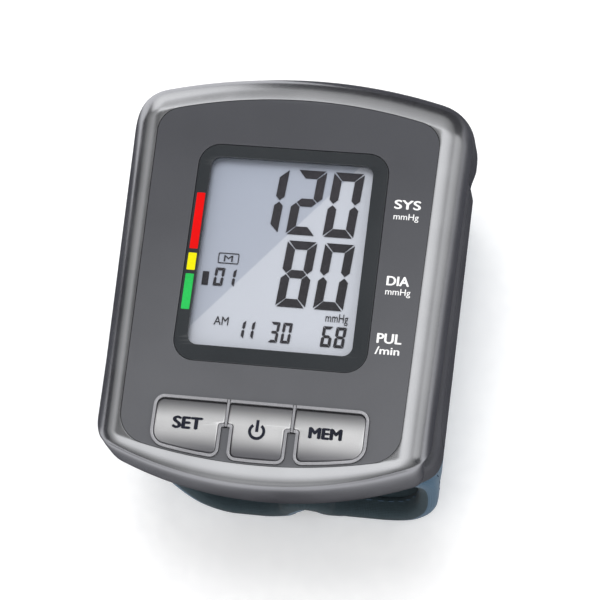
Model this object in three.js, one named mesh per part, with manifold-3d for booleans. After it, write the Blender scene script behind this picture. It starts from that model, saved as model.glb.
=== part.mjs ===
// Wrist blood pressure monitor, lying with its display up on its closed, flattened cuff.
// Millimetres. X to the display's right, Y to the display's top, Z up out of the display.
// The origin is below the middle of the case, on the surface that the cuff rests on.
import * as THREE from 'three';
import { mergeVertices } from 'three/addons/utils/BufferGeometryUtils.js';
import Module from 'manifold-3d';

const wasm = await Module();
wasm.setup();

// Overall sizes
const caseWidth = 70.6;
const caseLength = 88.6;
const caseThickness = 21.5;
const cuffDepth = 23.2;
const seatGap = 0.3;
const sideGap = 0.25;
const cutOverrun = 2.0;
const backZ = cuffDepth + seatGap;
const faceZ = backZ + caseThickness;

// Case outlines, seen from the display side
const wall = 1.9;
const bellyTaper = 0.008;
const bellyTopRadius = 108;
const bellyLowRadius = 80;
const bellyCorner = 10;
const bellyLowCorner = 8;
const shoulderDrop = 2.6;
const shoulderShare = 0.35;
const backRound = 5.2;
const backInset = 9;

// Silver frame
const frameSideStep = 1.0;
const frameHalf = caseWidth / 2 - frameSideStep;
const frameTaper = 0.026;
const frameTopStep = 2.7;
const frameLowStep = 0.6;
const frameTopY = caseLength / 2 - frameTopStep;
const frameLowY = -caseLength / 2 + frameLowStep;
const frameTopRadius = 118;
const frameLowRadius = 78;
const frameCorner = 8.5;
const frameLowCorner = 6.5;
const rimDraft = 0.5;
const rimDepth = 6.4;

// Face panel
const bezelSide = 5.8;
const bezelTop = 5.45;
const bezelLow = 3.8;
const panelWidth = 2 * (frameHalf - bezelSide);
const panelTopY = frameTopY - bezelTop;
const panelLowY = frameLowY + bezelLow;
const panelTaper = 0.018;
const panelThickness = 1.2;
const panelTopRadius = 102;
const panelLowRadius = 108;
const panelCorner = 5.2;
const panelLowCorner = 6.4;

// Frame profile
const cavityRound = 0.8;
const floorThickness = 1.8;
const boardDrop = 3.9;

// Window and display
const windowSide = 9.25;
const windowAbove = 10.7;
const windowBelow = 20.15;
const windowWidth = panelWidth - 2 * windowSide;
const windowLength = panelTopY - windowAbove - panelLowY - windowBelow;
const windowY = panelTopY - windowAbove - windowLength / 2;
const windowCorner = 4.2;
const frameThickness = 0.8;
const windowSink = 0.12;
const lensThickness = 0.7;
const borderSide = 2.7;
const borderEnd = 2.8;
const viewWidth = windowWidth - 2 * borderSide;
const viewLength = windowLength - 2 * borderEnd;
const viewShiftY = 0.35;
const viewX = -0.25;
const viewY = windowY + viewShiftY;
const viewCorner = 2.0;
const lensLedge = 0.35;
const glassMargin = 1.2;
const glassThickness = 2.0;
const holderWall = 1.4;
const holderLedge = 1.3;
const stripWidth = 1.8;

// Keys
const keyTopRise = 11.7;
const keyLowRise = 1.2;
const keySide = 7.9;
const keyTopY = panelLowY + keyTopRise;
const keyLowY = panelLowY + keyLowRise;
const keyRowHalf = panelWidth / 2 - keySide;
const keyLowRadius = 108;
const dividerShare = 0.318;
const dividerX = keyRowHalf * dividerShare;
const keySeam = 0.45;
const notchHalf = 1.65;
const notchDrop = 3.9;
const notchTopY = keyTopY - notchDrop;
const keyCorner = 0.9;
const keyOuterCorner = 2.6;
const keyRise = 0.45;
const keyCrown = 0.55;
const keyRim = 0.4;
const keyMargin = sideGap + keyRim;
const keyWall = 1.2;
const flangeLength = 7;
const rimRise = 0.5;
const flangeWidth = 0.8;
const flangeThickness = 0.8;
const stemRadius = 1.6;

// Boards and parts on it
const boardThickness = 1.2;
const boardSide = 7.3;
const boardTopSpace = 11.3;
const boardLowSpace = 7.5;
const boardWidth = caseWidth - 2 * boardSide;
const boardTopY = caseLength / 2 - boardTopSpace;
const boardLowY = -caseLength / 2 + boardLowSpace;
const boardCorner = 4;
const switchWidth = 6;
const switchHeight = 1.3;
const plungerRadius = 1.7;
const plungerRise = 0.5;
const plungerDepth = 0.3;
const chipWidth = 9;
const chipHeight = 1.2;
const buzzerX = boardWidth / 4;
const buzzerSpace = 0.6;
const buzzerRadius = 4.5;
const buzzerHeight = 3.4;
const buzzerHole = 1;

// Cells, bay and door
const cellRadius = 5.25;
const cellLength = 43.6;
const cellNubRadius = 1.9;
const cellNubLength = 0.9;
const cellSide = 10.1;
const cellX = caseWidth / 2 - cellSide;
const cellMiddleY = -2.3;
const bayEnd = 3.0;
const doorSpare = 12;
const doorLength = cellLength + doorSpare;
const doorMiddleY = -2.0;
const doorDepth = 11.4;
const doorWall = 1.7;
const doorRound = 0.8;
const bayWallThickness = 1.2;
const bayHalf = cellLength / 2 + bayEnd;
const bayEndY = cellMiddleY + bayHalf + bayWallThickness;
const bayLowY = cellMiddleY - bayHalf - bayWallThickness;
const doorCorner = 3;
const tongueLength = 3.4;
const tongueWidth = 5;
const tongueThickness = 0.9;
const notchRadius = 5.2;
const notchBite = 1.1;
const coilWire = 0.5;
const coilTurns = 4;
const coilBase = 3.4;
const coilTip = 2;
const coilLength = 2.0;
const plateHalf = 3.5;
const plateThickness = 0.4;

// Air system
const motorRadius = 5.2;
const motorLength = 20;
const motorShare = 0.3045;
const motorX = -caseWidth * motorShare;
const motorY = -8;
const headLength = 9;
const valveWidth = 9;
const valveLength = 13;
const manifoldWidth = 9;
const manifoldLength = 12;
const manifoldHeight = 6;
const barbRadius = 0.9;
const barbLength = 3.2;
const barbShare = 0.36;
const hoseRadius = 1.9;
const hoseBore = 1.2;
const portX = -3;
const portY = 6;
const portRadius = 2.2;
const portBore = 1.3;
const hoseSlack = 0.8;
const sensorY = -12;
const sensorWidth = 8;
const sensorHeight = 3;
const sensorPortLength = 1.1;
const hoseBend = 3.0;

// Fixings
const screwRadius = 1.1;
const screwHeadRadius = 2.1;
const screwHeadHeight = 1.3;
const screwLength = 8;
const screwWell = 8;
const driveWidth = 2.2;
const driveSlot = 0.6;
const cuffScrewShare = 0.198;
const cuffScrewSpread = 0.29;
const bossRadius = 3.0;
const caseScrewSide = 7.8;
const caseScrewEnd = 8.3;
const caseScrewX = caseWidth / 2 - caseScrewSide;
const caseScrewY = caseLength / 2 - caseScrewEnd;
const boardScrewRadius = 0.9;
const boardBossRadius = 2.1;
const boardHeadRadius = 1.7;
const boardHeadHeight = 0.8;
const boardScrewSide = 4;
const boardScrewTop = 3.5;
const boardScrewLow = 5.8;
const boardScrewX = boardWidth / 2 - boardScrewSide;
const boardScrewTopY = boardTopY - boardScrewTop;
const boardScrewLowY = boardLowY + boardScrewLow;

// Cuff
const cuffShort = 13.6;
const cuffInset = 3.0;
const cuffSide = 5.3;
const cuffWidth = caseLength - cuffShort;
const cuffMiddleX = 3;
const cuffHalf = caseWidth / 2 - cuffSide;
const cuffLowY = -caseLength / 2 + cuffInset;
const cuffMiddleY = cuffLowY + cuffWidth / 2;
const cuffScrewX = -caseWidth * cuffScrewShare;
const cuffScrewYs = [cuffMiddleY - cuffWidth * cuffScrewSpread, cuffMiddleY + cuffWidth * cuffScrewSpread];
const sleeveThickness = 4.4;
const sleeveSkin = 0.9;
const restCut = 0.5;
const sleeveRound = 1.4;
const rimWave = 7;
const pocketMargin = 4;
const bladderMargin = 3;
const stiffenerThickness = 0.8;
const stiffenerBoss = 2.6;
const bladderThickness = 0.9;
const flangeRadius = 4;
const patchThickness = 0.5;
const patchLength = 54;
const tabThickness = 1.1;
const tabLength = 50;

// Solids are joined and cut here, from closed three.js meshes
function solid(geometry) {
  const bare = geometry.clone();
  bare.deleteAttribute('normal');
  bare.deleteAttribute('uv');
  const merged = mergeVertices(bare, 1e-4);
  const vertProperties = new Float32Array(merged.attributes.position.array);
  const triVerts = new Uint32Array(merged.index.array);
  return new wasm.Manifold(new wasm.Mesh({ numProp: 3, vertProperties, triVerts }));
}

function geometryOf(body) {
  const mesh = body.getMesh();
  const geometry = new THREE.BufferGeometry();
  geometry.setAttribute('position', new THREE.BufferAttribute(new Float32Array(mesh.vertProperties), 3));
  geometry.setIndex(new THREE.BufferAttribute(new Uint32Array(mesh.triVerts), 1));
  geometry.computeVertexNormals();
  return geometry;
}

const join = (first, ...rest) => rest.reduce((sum, item) => sum.add(item), first);
const cut = (first, ...rest) => rest.reduce((sum, item) => sum.subtract(item), first);

// A closed solid from rings of points, lowest first, each counter-clockwise seen from above
function loft(rings) {
  const count = rings[0].length;
  const points = rings.flat();
  const faces = [];
  for (let level = 0; level < rings.length - 1; level++) {
    for (let step = 0; step < count; step++) {
      const next = (step + 1) % count;
      const low = level * count;
      const high = low + count;
      faces.push(low + step, low + next, high + next, low + step, high + next, high + step);
    }
  }
  const last = (rings.length - 1) * count;
  const flat = (ring) => ring.map(([x, y]) => new THREE.Vector2(x, y));
  for (const [a, b, c] of THREE.ShapeUtils.triangulateShape(flat(rings[0]), [])) faces.push(a, c, b);
  for (const [a, b, c] of THREE.ShapeUtils.triangulateShape(flat(rings.at(-1)), [])) {
    faces.push(last + a, last + b, last + c);
  }
  return solid(meshOf(points, faces));
}

function meshOf(points, faces) {
  const geometry = new THREE.BufferGeometry();
  geometry.setAttribute('position', new THREE.Float32BufferAttribute(points.flat(), 3));
  geometry.setIndex(faces);
  return geometry;
}

const at = (outline, z) => outline.map(([x, y]) => [x, y, z]);
const between = (first, second, share) => first.map(([x, y], index) => [
  x + (second[index][0] - x) * share,
  y + (second[index][1] - y) * share,
]);

// Upright prism of an outline, with holes
function prism(outline, lowZ, highZ, holes = []) {
  const shape = new THREE.Shape(outline.map(([x, y]) => new THREE.Vector2(x, y)));
  shape.holes = holes.map((hole) => new THREE.Path(hole.map(([x, y]) => new THREE.Vector2(x, y))));
  const geometry = new THREE.ExtrudeGeometry(shape, { depth: highZ - lowZ, bevelEnabled: false });
  return solid(geometry.translate(0, 0, lowZ));
}

function block(lowX, highX, lowY, highY, lowZ, highZ) {
  const geometry = new THREE.BoxGeometry(highX - lowX, highY - lowY, highZ - lowZ);
  return solid(geometry.translate((lowX + highX) / 2, (lowY + highY) / 2, (lowZ + highZ) / 2));
}

function post(x, y, radius, lowZ, highZ, sides = 16) {
  const geometry = new THREE.CylinderGeometry(radius, radius, highZ - lowZ, sides);
  return solid(geometry.rotateX(Math.PI / 2).translate(x, y, (lowZ + highZ) / 2));
}

function rodAlongY(x, z, radius, lowY, highY, sides = 20) {
  const geometry = new THREE.CylinderGeometry(radius, radius, highY - lowY, sides);
  return solid(geometry.translate(x, (lowY + highY) / 2, z));
}

function roundedOutline(middleX, middleY, width, length, radius, steps = 4) {
  const points = [];
  const corners = [[1, -1, -90], [1, 1, 0], [-1, 1, 90], [-1, -1, 180]];
  for (const [signX, signY, start] of corners) {
    const centreX = middleX + signX * (width / 2 - radius);
    const centreY = middleY + signY * (length / 2 - radius);
    for (let step = 0; step <= steps; step++) {
      const angle = THREE.MathUtils.degToRad(start + (90 * step) / steps);
      points.push([centreX + radius * Math.cos(angle), centreY + radius * Math.sin(angle)]);
    }
  }
  return points;
}

// Outline with bowed ends, straight tapering sides and round corners, counter-clockwise
function bowedOutline({ half, taper, topY, topArc, lowY, lowArc, corner, lowCorner }) {
  const crownSteps = 5;
  const cornerSteps = 5;
  const sideSteps = 3;
  const slant = Math.hypot(1, taper);
  const cornerCentre = (apex, arc, radius, sign) => {
    const base = half - radius * slant;
    const middle = apex - sign * arc;
    const a = 1 + taper * taper;
    const b = 2 * (base * taper - middle);
    const c = base * base + middle * middle - (arc - radius) ** 2;
    const y = (-b + sign * Math.sqrt(b * b - 4 * a * c)) / (2 * a);
    return [base + taper * y, y, Math.atan2(y - middle, base + taper * y), middle];
  };
  const sideAngle = Math.atan2(-taper, 1);
  const [lowX, lowCentreY, lowAngle, lowMiddle] = cornerCentre(lowY, lowArc, lowCorner, -1);
  const [topX, topCentreY, topAngle, topMiddle] = cornerCentre(topY, topArc, corner, 1);
  const right = [];
  const arc = (x, y, radius, from, to, steps, first) => {
    for (let step = first; step <= steps; step++) {
      const angle = from + ((to - from) * step) / steps;
      right.push([x + radius * Math.cos(angle), y + radius * Math.sin(angle)]);
    }
  };
  arc(0, lowMiddle, lowArc, -Math.PI / 2, lowAngle, crownSteps, 0);
  arc(lowX, lowCentreY, lowCorner, lowAngle, sideAngle, cornerSteps, 1);
  const sideStart = right.at(-1);
  const sideEnd = [topX + corner * Math.cos(sideAngle), topCentreY + corner * Math.sin(sideAngle)];
  for (let step = 1; step < sideSteps; step++) {
    const share = step / sideSteps;
    right.push(sideStart.map((value, axis) => value + (sideEnd[axis] - value) * share));
  }
  arc(topX, topCentreY, corner, sideAngle, topAngle, cornerSteps, 0);
  arc(0, topMiddle, topArc, topAngle, Math.PI / 2, crownSteps, 1);
  const left = right.slice(1, -1).map(([x, y]) => [-x, y]).reverse();
  return [...right, ...left];
}

const bellyShape = {
  half: caseWidth / 2 - bellyTaper * (caseLength / 2 - bellyCorner),
  taper: bellyTaper,
  topY: caseLength / 2,
  topArc: bellyTopRadius,
  lowY: -caseLength / 2,
  lowArc: bellyLowRadius,
  corner: bellyCorner,
  lowCorner: bellyLowCorner,
};
const frameShape = {
  half: frameHalf,
  taper: frameTaper,
  topY: frameTopY,
  topArc: frameTopRadius,
  lowY: frameLowY,
  lowArc: frameLowRadius,
  corner: frameCorner,
  lowCorner: frameLowCorner,
};
const panelShape = {
  half: panelWidth / 2,
  taper: panelTaper,
  topY: panelTopY,
  topArc: panelTopRadius,
  lowY: panelLowY,
  lowArc: panelLowRadius,
  corner: panelCorner,
  lowCorner: panelLowCorner,
};

// The same outline drawn in by an equal margin on every side
const cornerShare = 0.7;
const drawnIn = (shape, inset) => bowedOutline({
  ...shape,
  half: shape.half - inset,
  topY: shape.topY - inset,
  topArc: shape.topArc - inset,
  lowY: shape.lowY + inset,
  lowArc: shape.lowArc - inset,
  corner: shape.corner - inset * cornerShare,
  lowCorner: shape.lowCorner - inset * cornerShare,
});

// Levels, from the face down
const rimZ = faceZ - rimDepth;
const recessZ = faceZ - panelThickness - seatGap;
const windowTopZ = faceZ - windowSink;
const windowLowZ = windowTopZ - frameThickness;
const lensTopZ = windowLowZ - seatGap;
const lensLowZ = lensTopZ - lensThickness;
const pocketZ = lensLowZ - seatGap;
const floorZ = recessZ - floorThickness;
const glassTopZ = pocketZ;
const glassLowZ = glassTopZ - glassThickness;
const boardTopZ = floorZ - boardDrop;
const boardLowZ = boardTopZ - boardThickness;
const bayFloorZ = backZ + wall;
const rearTopZ = rimZ - seatGap;

const parts = new THREE.Group();
function place(name, body, color, roughness, metalness = 0, opacity = 1) {
  const material = new THREE.MeshStandardMaterial({ color, roughness, metalness });
  material.transparent = opacity < 1;
  material.opacity = opacity;
  const mesh = new THREE.Mesh(geometryOf(body), material);
  mesh.name = name;
  parts.add(mesh);
}

// half an angle, in radians, from which a corner counts as straight
const straightHalf = 1.5;

// Key outlines: left, middle and right, grown outwards by a margin
// Corners are given as x, y and radius, and rounded one after another
function roundCorners(corners, steps = 3) {
  const points = [];
  corners.forEach(([x, y, radius], index) => {
    const corner = new THREE.Vector2(x, y);
    const before = new THREE.Vector2(...corners.at(index - 1)).sub(corner).normalize();
    const after = new THREE.Vector2(...corners[(index + 1) % corners.length]).sub(corner).normalize();
    const half = Math.acos(THREE.MathUtils.clamp(before.dot(after), -1, 1)) / 2;
    if (radius <= 0 || half > straightHalf) {
      points.push([x, y]);
      return;
    }
    const middle = before.clone().add(after).normalize().multiplyScalar(radius / Math.sin(half)).add(corner);
    const start = before.multiplyScalar(radius / Math.tan(half)).add(corner).sub(middle);
    const end = after.multiplyScalar(radius / Math.tan(half)).add(corner).sub(middle);
    let turn = end.angle() - start.angle();
    if (turn > Math.PI) turn -= 2 * Math.PI;
    if (turn < -Math.PI) turn += 2 * Math.PI;
    for (let step = 0; step <= steps; step++) {
      const angle = start.angle() + (turn * step) / steps;
      points.push([middle.x + radius * Math.cos(angle), middle.y + radius * Math.sin(angle)]);
    }
  });
  return points;
}

const keyLowAt = (x, grow) => keyLowY - grow + (keyLowRadius + grow)
  - Math.sqrt((keyLowRadius + grow) ** 2 - x * x);

// Corners along the seam are square once neighbouring outlines run into each other
const seamCorner = (grow) => (grow > keySeam ? 0 : keyCorner / 2);
function middleKeyOutline(grow) {
  const side = dividerX - keySeam + grow;
  const waist = dividerX - notchHalf + grow;
  const convex = keyCorner + grow;
  const concave = Math.max(keyCorner - grow, keyCorner / 4);
  return roundCorners([
    [-waist, keyLowAt(waist, grow), convex],
    [0, keyLowAt(0, grow), 0],
    [waist, keyLowAt(waist, grow), convex],
    [waist, notchTopY - grow, concave],
    [side, notchTopY - grow, seamCorner(grow)],
    [side, keyTopY + grow, seamCorner(grow)],
    [-side, keyTopY + grow, seamCorner(grow)],
    [-side, notchTopY - grow, seamCorner(grow)],
    [-waist, notchTopY - grow, concave],
  ]);
}

function rightKeyOutline(grow) {
  const side = dividerX + keySeam - grow;
  const waist = dividerX + notchHalf - grow;
  const end = keyRowHalf + grow;
  const middle = (waist + end) / 2;
  const convex = keyCorner + grow;
  const concave = Math.max(keyCorner - grow, keyCorner / 4);
  return roundCorners([
    [waist, keyLowAt(waist, grow), convex],
    [middle, keyLowAt(middle, grow), 0],
    [end, keyLowAt(end, grow), keyOuterCorner + grow],
    [end, keyTopY + grow, keyOuterCorner / 2 + grow],
    [side, keyTopY + grow, seamCorner(grow)],
    [side, notchTopY - grow, seamCorner(grow)],
    [waist, notchTopY - grow, concave],
  ]);
}

const mirrored = (outline) => outline.map(([x, y]) => [-x, y]).reverse();
const keyOutlines = (grow) => [
  mirrored(rightKeyOutline(grow)), middleKeyOutline(grow), rightKeyOutline(grow),
];
const keyPrisms = (grow, lowZ, highZ) => keyOutlines(grow).map((outline) => prism(outline, lowZ, highZ));
const keyMiddles = [-(dividerX + keyRowHalf) / 2, 0, (dividerX + keyRowHalf) / 2];
const keyMiddleY = (keyTopY + keyLowY) / 2;

// Outlines of the window's layers
const windowOutline = (grow) => roundedOutline(
  0, windowY, windowWidth + 2 * grow, windowLength + 2 * grow, windowCorner + grow);
const viewOutline = (grow) => roundedOutline(
  viewX, viewY, viewWidth + 2 * grow, viewLength + 2 * grow, viewCorner + grow);

const caseScrewPlaces = [
  [caseScrewX, caseScrewY], [-caseScrewX, caseScrewY],
  [caseScrewX, -caseScrewY], [-caseScrewX, -caseScrewY],
];
const boardScrewPlaces = [
  [boardScrewX, boardScrewTopY], [-boardScrewX, boardScrewTopY],
  [boardScrewX, boardScrewLowY], [-boardScrewX, boardScrewLowY],
];

// Front housing: a silver frame whose section rolls from the face down to the rim.
// Each row is a share of the way out from the panel's edge and of the rim's depth.
const frameProfileShares = [
  [0, 0], [0.2, 0.01], [0.38, 0.045], [0.55, 0.105], [0.7, 0.185], [0.82, 0.28], [0.92, 0.4], [1, 0.6],
];
function frontHousing() {
  const inner = bowedOutline(panelShape);
  const outer = bowedOutline(frameShape);
  const outside = frameProfileShares.map(([out, fall]) => at(
    between(inner, outer, out), faceZ - rimDepth * fall));
  outside.push(at(drawnIn(frameShape, rimDraft), rimZ));
  const cavity = [
    at(drawnIn(frameShape, rimDraft + wall), rimZ - cutOverrun),
    at(drawnIn(frameShape, rimDraft + wall), floorZ - cavityRound),
    at(drawnIn(frameShape, rimDraft + wall + cavityRound), floorZ),
  ];
  const panelRecess = prism(drawnIn(panelShape, -sideGap), recessZ, faceZ + cutOverrun);
  const windowPocket = prism(windowOutline(sideGap), pocketZ, faceZ);
  const glassHole = prism(viewOutline(glassMargin + sideGap), floorZ - cutOverrun, faceZ);
  const keyHoles = keyPrisms(sideGap, floorZ - cutOverrun, faceZ);
  const whole = loft(outside.reverse());
  const shell = cut(whole, loft(cavity), panelRecess, windowPocket, glassHole, ...keyHoles);
  const bossTopZ = floorZ + floorThickness / 2;
  const caseBosses = caseScrewPlaces.map(([x, y]) => post(x, y, bossRadius, rimZ, bossTopZ));
  const boardBosses = boardScrewPlaces.map(([x, y]) => post(
    x, y, boardBossRadius, boardTopZ + seatGap, bossTopZ, 12));
  const caseHoles = caseScrewPlaces.map(([x, y]) => post(
    x, y, screwRadius + seatGap, rimZ - cutOverrun, floorZ + floorThickness / 4, 10));
  const boardHoles = boardScrewPlaces.map(([x, y]) => post(
    x, y, boardScrewRadius + seatGap, boardTopZ, floorZ, 10));
  const bosses = join(...caseBosses, ...boardBosses).intersect(whole);
  return cut(join(shell, bosses), ...caseHoles, ...boardHoles);
}
place('front_housing', frontHousing(), 0xb9babc, 0.28, 0.85);

// Face panel: grey plate let into the frame, open for the window and the keys
function facePanel() {
  const plate = prism(bowedOutline(panelShape), faceZ - panelThickness, faceZ);
  const window = prism(windowOutline(sideGap), faceZ - cutOverrun, faceZ + cutOverrun);
  const keys = keyPrisms(keyMargin + sideGap, faceZ - cutOverrun, faceZ + cutOverrun);
  return cut(plate, window, ...keys);
}
place('face_panel', facePanel(), 0x63646a, 0.45, 0.1);

// Window: slate border, clear lens below it, and the display stack below that
function displayFrame() {
  return prism(windowOutline(0), windowLowZ, windowTopZ, [viewOutline(0).reverse()]);
}
place('display_frame', displayFrame(), 0x3a3e45, 0.4);
place('display_window', prism(windowOutline(-lensLedge), lensLowZ, lensTopZ), 0xdfe6ee, 0.05, 0, 0.3);
place('lcd_panel', prism(viewOutline(glassMargin), glassLowZ, glassTopZ), 0xb8bdcb, 0.3);

// LCD holder: a frame that stands on the board and carries the glass on a ledge
const holderTopZ = floorZ - seatGap;
const holderLowZ = boardTopZ + seatGap;
function lcdHolder() {
  const outline = (grow) => viewOutline(glassMargin + sideGap + grow);
  const ledgeZ = glassLowZ - seatGap;
  const body = prism(outline(holderWall), holderLowZ, holderTopZ);
  const glassRoom = prism(outline(0), ledgeZ, holderTopZ + cutOverrun);
  const middle = prism(outline(-holderLedge), holderLowZ - cutOverrun, ledgeZ + cutOverrun);
  const strips = stripBoxes(sideGap, holderLowZ - cutOverrun, ledgeZ + cutOverrun);
  return cut(body, glassRoom, middle, ...strips);
}
// Two rubber contact strips, along the glass's upper and lower edges
function stripBoxes(grow, lowZ, highZ) {
  const half = viewWidth / 2 - viewCorner;
  return [-1, 1].map((side) => {
    const y = viewY + side * (viewLength / 2 - stripWidth);
    return block(viewX - half - grow, viewX + half + grow, y - stripWidth / 2 - grow,
      y + stripWidth / 2 + grow, lowZ, highZ);
  });
}
place('lcd_holder', lcdHolder(), 0xe9e9e6, 0.6);
stripBoxes(0, boardTopZ + seatGap, glassLowZ - seatGap).forEach((strip, index) => {
  place(['lower_contact_strip', 'upper_contact_strip'][index], strip, 0x2b2b2b, 0.8);
});

// Keys: bowed caps in a bright rim, each with a retaining flange and a stem for its switch
const keyTopZ = faceZ + keyRise;
function keyFrame() {
  const outer = keyPrisms(keyMargin, recessZ + seatGap, faceZ + rimRise);
  const inner = keyPrisms(sideGap, recessZ - cutOverrun, faceZ + cutOverrun);
  return cut(join(...outer), ...inner);
}
place('key_frame', keyFrame(), 0xd2d3d6, 0.2, 0.9);

// Prism along X of a bow that is highest half way up the key
function keyBow() {
  const halfLength = (keyTopY - keyLowY) / 2 + keyMargin;
  const radius = (halfLength ** 2 + keyCrown ** 2) / (2 * keyCrown);
  const steps = 8;
  const shape = new THREE.Shape();
  const lowest = floorZ - boardDrop;
  shape.moveTo(-halfLength, lowest);
  shape.lineTo(halfLength, lowest);
  for (let step = 0; step <= steps; step++) {
    const y = halfLength - (2 * halfLength * step) / steps;
    shape.lineTo(y, keyTopZ + Math.sqrt(radius ** 2 - y * y) - radius);
  }
  const reach = 2 * (keyRowHalf + keyMargin);
  const geometry = new THREE.ExtrudeGeometry(shape, { depth: reach, bevelEnabled: false });
  geometry.translate(0, 0, -reach / 2).rotateX(Math.PI / 2).rotateZ(Math.PI / 2);
  return solid(geometry.translate(0, keyMiddleY, 0));
}
const bow = keyBow();
const stemLowZ = boardTopZ + seatGap + switchHeight + plungerRise + seatGap;
const flangeTopZ = floorZ - seatGap;
['set_button', 'power_button', 'memory_button'].forEach((name, index) => {
  const capLowZ = flangeTopZ - flangeThickness;
  const cap = prism(keyOutlines(0)[index], capLowZ, faceZ + cutOverrun).intersect(bow);
  const hollow = prism(keyOutlines(-keyWall)[index], capLowZ - cutOverrun, keyTopZ - keyCrown - keyWall);
  const x = keyMiddles[index];
  const flange = [keyTopY, keyLowAt(Math.abs(x) + flangeLength / 2, 0)].map((y) => block(
    x - flangeLength / 2, x + flangeLength / 2, y - flangeWidth, y + flangeWidth, capLowZ, flangeTopZ));
  const stem = post(x, keyMiddleY, stemRadius, stemLowZ, keyTopZ - keyCrown - keyWall / 2);
  place(name, join(cut(join(cap, ...flange), hollow), stem), 0xc4c5c8, 0.22, 0.9);
});

// Switches on the board: three bases, and the plungers that travel with the keys
const switchLowZ = boardTopZ + seatGap;
const switchTopZ = switchLowZ + switchHeight;
['set', 'power', 'memory'].forEach((name, index) => {
  const x = keyMiddles[index];
  const base = block(x - switchWidth / 2, x + switchWidth / 2, keyMiddleY - switchWidth / 2,
    keyMiddleY + switchWidth / 2, switchLowZ, switchTopZ);
  const well = post(
    x, keyMiddleY, plungerRadius + seatGap, switchLowZ - cutOverrun, switchTopZ + cutOverrun);
  place(name + '_switch', cut(base, well), 0x222222, 0.5);
  const plunger = post(
    x, keyMiddleY, plungerRadius, switchTopZ - plungerDepth, switchTopZ + plungerRise, 12);
  place(name + '_plunger', plunger, 0x8a6a3a, 0.5);
});

// Main board with cut-outs for the case bosses, and what stands on it
function mainBoard() {
  const middleY = (boardTopY + boardLowY) / 2;
  const plate = prism(
    roundedOutline(0, middleY, boardWidth, boardTopY - boardLowY, boardCorner), boardLowZ, boardTopZ);
  const corners = caseScrewPlaces.map(([x, y]) => post(
    x, y, bossRadius + sideGap, boardLowZ - cutOverrun, boardTopZ + cutOverrun));
  const holes = boardScrewPlaces.map(([x, y]) => post(
    x, y, boardScrewRadius + seatGap, boardLowZ - cutOverrun, boardTopZ + cutOverrun, 10));
  return cut(plate, ...corners, ...holes);
}
place('main_board', mainBoard(), 0x1f5a34, 0.5);

boardScrewPlaces.forEach(([x, y], index) => {
  const headTopZ = boardLowZ - seatGap;
  place('board_screw_' + (index + 1), join(
    post(x, y, boardScrewRadius, headTopZ - boardHeadHeight / 2, boardTopZ + boardDrop / 2, 10),
    post(x, y, boardHeadRadius, headTopZ - boardHeadHeight, headTopZ, 12)), 0x9a9a9e, 0.35, 0.9);
});

// Chips inside the LCD holder: a controller and a memory package
function chip(x, y, width, length) {
  const lowZ = boardTopZ + seatGap;
  return block(x - width / 2, x + width / 2, y - length / 2, y + length / 2, lowZ, lowZ + chipHeight);
}
place('microcontroller', chip(viewX, viewY + chipWidth / 2, chipWidth, chipWidth), 0x26262a, 0.5);
place('memory_chip', chip(viewX, viewY - chipWidth, chipWidth / 2, chipWidth / 3), 0x26262a, 0.5);

// Buzzer on the underside of the board, beyond the cells' end
const buzzerY = bayEndY + buzzerSpace + buzzerRadius;
place('buzzer', cut(
  post(buzzerX, buzzerY, buzzerRadius, boardLowZ - seatGap - buzzerHeight, boardLowZ - seatGap, 20),
  post(buzzerX, buzzerY, buzzerHole, boardLowZ - seatGap - buzzerHeight - cutOverrun,
    boardLowZ - seatGap - buzzerHeight / 2, 10)), 0x1c1c1e, 0.5);

// Rear housing: a shell that swells out from the rim to the belly and rounds in to a flat back.
// Each row is a share of the back's inset and of the back's rounding height.
const backProfileShares = [[1, 0], [0.6, 0.08], [0.26, 0.36], [0.07, 0.72], [0, 1.1]];
function rearBody(inset, lowZ, highZ) {
  const rings = backProfileShares.map(([drawn, rise]) => at(
    drawnIn(bellyShape, backInset * drawn + inset), lowZ + backRound * rise));
  const bellyTop = drawnIn(bellyShape, inset);
  const rimOutline = drawnIn(frameShape, rimDraft + inset);
  rings.push(at(bellyTop, rearTopZ - shoulderDrop));
  rings.push(at(between(bellyTop, rimOutline, shoulderShare), rearTopZ - shoulderDrop / 3));
  rings.push(at(rimOutline, highZ));
  return loft(rings);
}
const rearOutside = rearBody(0, backZ, rearTopZ);

// Prism along X of a rounded rectangle: the door and the opening that it closes
const doorMiddleZ = bayFloorZ + cellRadius + seatGap;
function doorPrism(grow, lowX, highX) {
  const outline = roundedOutline(0, 0, doorDepth + 2 * grow, doorLength + 2 * grow, doorCorner + grow, 3);
  const shape = new THREE.Shape(outline.map(([x, y]) => new THREE.Vector2(x, y)));
  const geometry = new THREE.ExtrudeGeometry(shape, { depth: highX - lowX, bevelEnabled: false });
  geometry.rotateY(Math.PI / 2).translate(lowX, doorMiddleY, doorMiddleZ);
  return solid(geometry);
}
const doorInnerX = caseWidth / 2 - doorRound - doorWall;
const doorTopY = doorMiddleY + doorLength / 2;
const thumbNotch = post(caseWidth / 2 + notchRadius - notchBite, doorTopY, notchRadius,
  doorMiddleZ - doorDepth / 2, faceZ, 20);

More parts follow.
